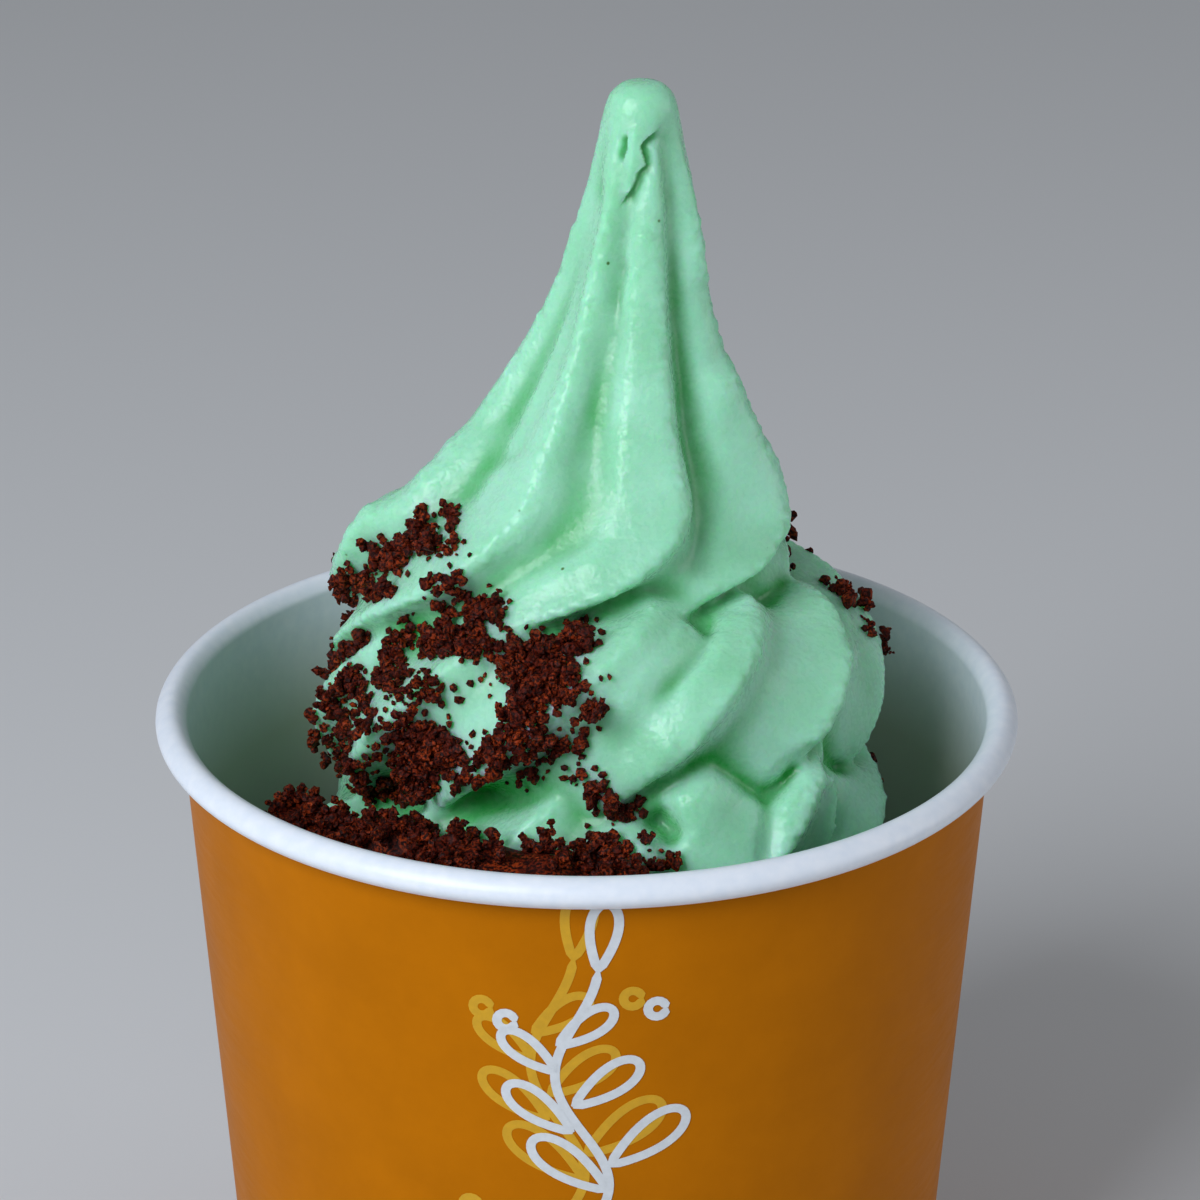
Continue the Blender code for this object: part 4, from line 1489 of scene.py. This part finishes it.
class YOGURT_OT_crumbs(bpy.types.Operator):
    """Scatter crumbs on the swirl"""

    bl_idname = "yogurt.crumbs"
    bl_label = "Crumbs on the Swirl"

    def execute(self, context):
        seed = context.scene.yogurt_crumbs.seed
        tree = mesh_tree(bpy.data.objects["soft_serve_swirl"].data)
        grains = patch_grains(tree, seed) + cluster_grains(tree, seed)
        large = [grain for grain in grains if grain[1] >= FINE_LIMIT]
        small = [grain for grain in grains if grain[1] < FINE_LIMIT] + fine_grains(tree, seed)
        crumbs = make_grains("crumbs_on_swirl", large, PATCH_SEED, divisions=2)
        place_piece(crumbs, "cake_crumbs")
        fine = make_grains("fine_crumbs_on_swirl", small, FINE_SEED, divisions=1)
        place_piece(fine, "cake_crumbs")
        return {"FINISHED"}


class YOGURT_OT_heap(bpy.types.Operator):
    """Model the heap of crumbs between the swirl and the wall"""

    bl_idname = "yogurt.heap"
    bl_label = "Crumb Heap"

    def execute(self, context):
        seed = context.scene.yogurt_crumbs.seed
        bm = bmesh.new()
        loft(bm, heap_sections())
        bmesh.ops.recalc_face_normals(bm, faces=bm.faces)
        core = new_object("crumb_heap_core", bm, [cake_crumb()])
        place_piece(core, "cake_crumbs", "crumb_heap")
        grains = heap_grains(mesh_tree(core.data), seed)
        crumbs = make_grains("crumbs_on_heap", grains, HEAP_SEED, divisions=2)
        place_piece(crumbs, "cake_crumbs", "crumb_heap")
        return {"FINISHED"}


class YOGURT_OT_studio(bpy.types.Operator):
    """Set up the floor, the lights and the camera"""

    bl_idname = "yogurt.studio"
    bl_label = "Studio"

    def execute(self, context):
        make_floor()
        make_lights()
        make_camera()
        return {"FINISHED"}


def make_floor():
    """A wide pale floor."""
    material, tree, shader = new_material("pale_floor")
    colour = (*bpy.context.scene.yogurt_studio.floor, 1.0)
    give(tree, shader, {"Base Color": colour, "Roughness": 0.8})
    bm = bmesh.new()
    bmesh.ops.create_circle(bm, cap_ends=True, segments=64, radius=FLOOR_RADIUS)
    new_object("floor", bm, [material])


def add_light(name, place, size, power, colour):
    """A soft square light, turned towards the middle of the cup and its swirl."""
    light = bpy.data.lights.new(name, "AREA")
    light.size = size
    light.energy = power
    light.color = colour
    thing = bpy.data.objects.new(name, light)
    bpy.context.scene.collection.objects.link(thing)
    thing.location = place
    thing.rotation_euler = (Vector(LIGHT_AIM) - Vector(place)).to_track_quat("-Z", "Y").to_euler()


def make_lights():
    """A broad cool light above and to the left, a weak one at the right, and an even sky."""
    studio = bpy.context.scene.yogurt_studio
    add_light("key_light", KEY_LIGHT_PLACE, KEY_LIGHT_SIZE, studio.key, KEY_LIGHT_COLOUR)
    add_light("fill_light", FILL_LIGHT_PLACE, FILL_LIGHT_SIZE, studio.fill, FILL_LIGHT_COLOUR)
    world = bpy.data.worlds.new("studio_sky")
    world.use_nodes = True
    give(world.node_tree, world.node_tree.nodes["Background"],
         {"Color": (*SKY_COLOUR, 1.0), "Strength": studio.sky})
    bpy.context.scene.world = world


def make_camera():
    """The camera at the photograph's viewing angle."""
    place, forward, right, up = camera_frame()
    data = bpy.data.cameras.new("camera")
    data.sensor_width = SENSOR
    data.lens = FOCAL_PIXELS / PICTURE * SENSOR
    data.clip_start = 0.01
    camera = bpy.data.objects.new("camera", data)
    bpy.context.scene.collection.objects.link(camera)
    turn = Matrix((right, up, -forward)).transposed().to_4x4()
    camera.matrix_world = Matrix.Translation(place * MM) @ turn
    bpy.context.scene.camera = camera
    bpy.context.scene.view_settings.view_transform = "Standard"


class YOGURT_PT_panel(bpy.types.Panel):
    """Steps and settings of the yogurt cup"""

    bl_idname = "YOGURT_PT_panel"
    bl_label = "Frozen Yogurt Cup"
    bl_space_type = "VIEW_3D"
    bl_region_type = "UI"
    bl_category = "Yogurt"

    def draw(self, context):
        for step in STEPS:
            self.layout.operator(step.bl_idname)
        for name, group in SETTINGS.items():
            box = self.layout.box()
            for key in group.__annotations__:
                box.prop(getattr(context.scene, name), key)


STEPS = (YOGURT_OT_cup, YOGURT_OT_print, YOGURT_OT_swirl, YOGURT_OT_crumbs, YOGURT_OT_heap,
         YOGURT_OT_studio)
SETTINGS = {
    "yogurt_cup": CupSettings,
    "yogurt_swirl": YogurtSettings,
    "yogurt_crumbs": CrumbSettings,
    "yogurt_studio": StudioSettings,
}


def register():
    """Register the settings, the steps and the panel."""
    for group in SETTINGS.values():
        bpy.utils.register_class(group)
    for name, group in SETTINGS.items():
        setattr(bpy.types.Scene, name, PointerProperty(type=group))
    for step in (*STEPS, YOGURT_PT_panel):
        bpy.utils.register_class(step)


def unregister():
    """Take back what register did."""
    for step in (YOGURT_PT_panel, *STEPS):
        bpy.utils.unregister_class(step)
    for name, group in SETTINGS.items():
        delattr(bpy.types.Scene, name)
        bpy.utils.unregister_class(group)


def main():
    """Build everything in order."""
    register()
    bpy.ops.yogurt.cup()
    bpy.ops.yogurt.print()
    bpy.ops.yogurt.swirl()
    bpy.ops.yogurt.crumbs()
    bpy.ops.yogurt.heap()
    bpy.ops.yogurt.studio()


if __name__ == "__main__":
    main()
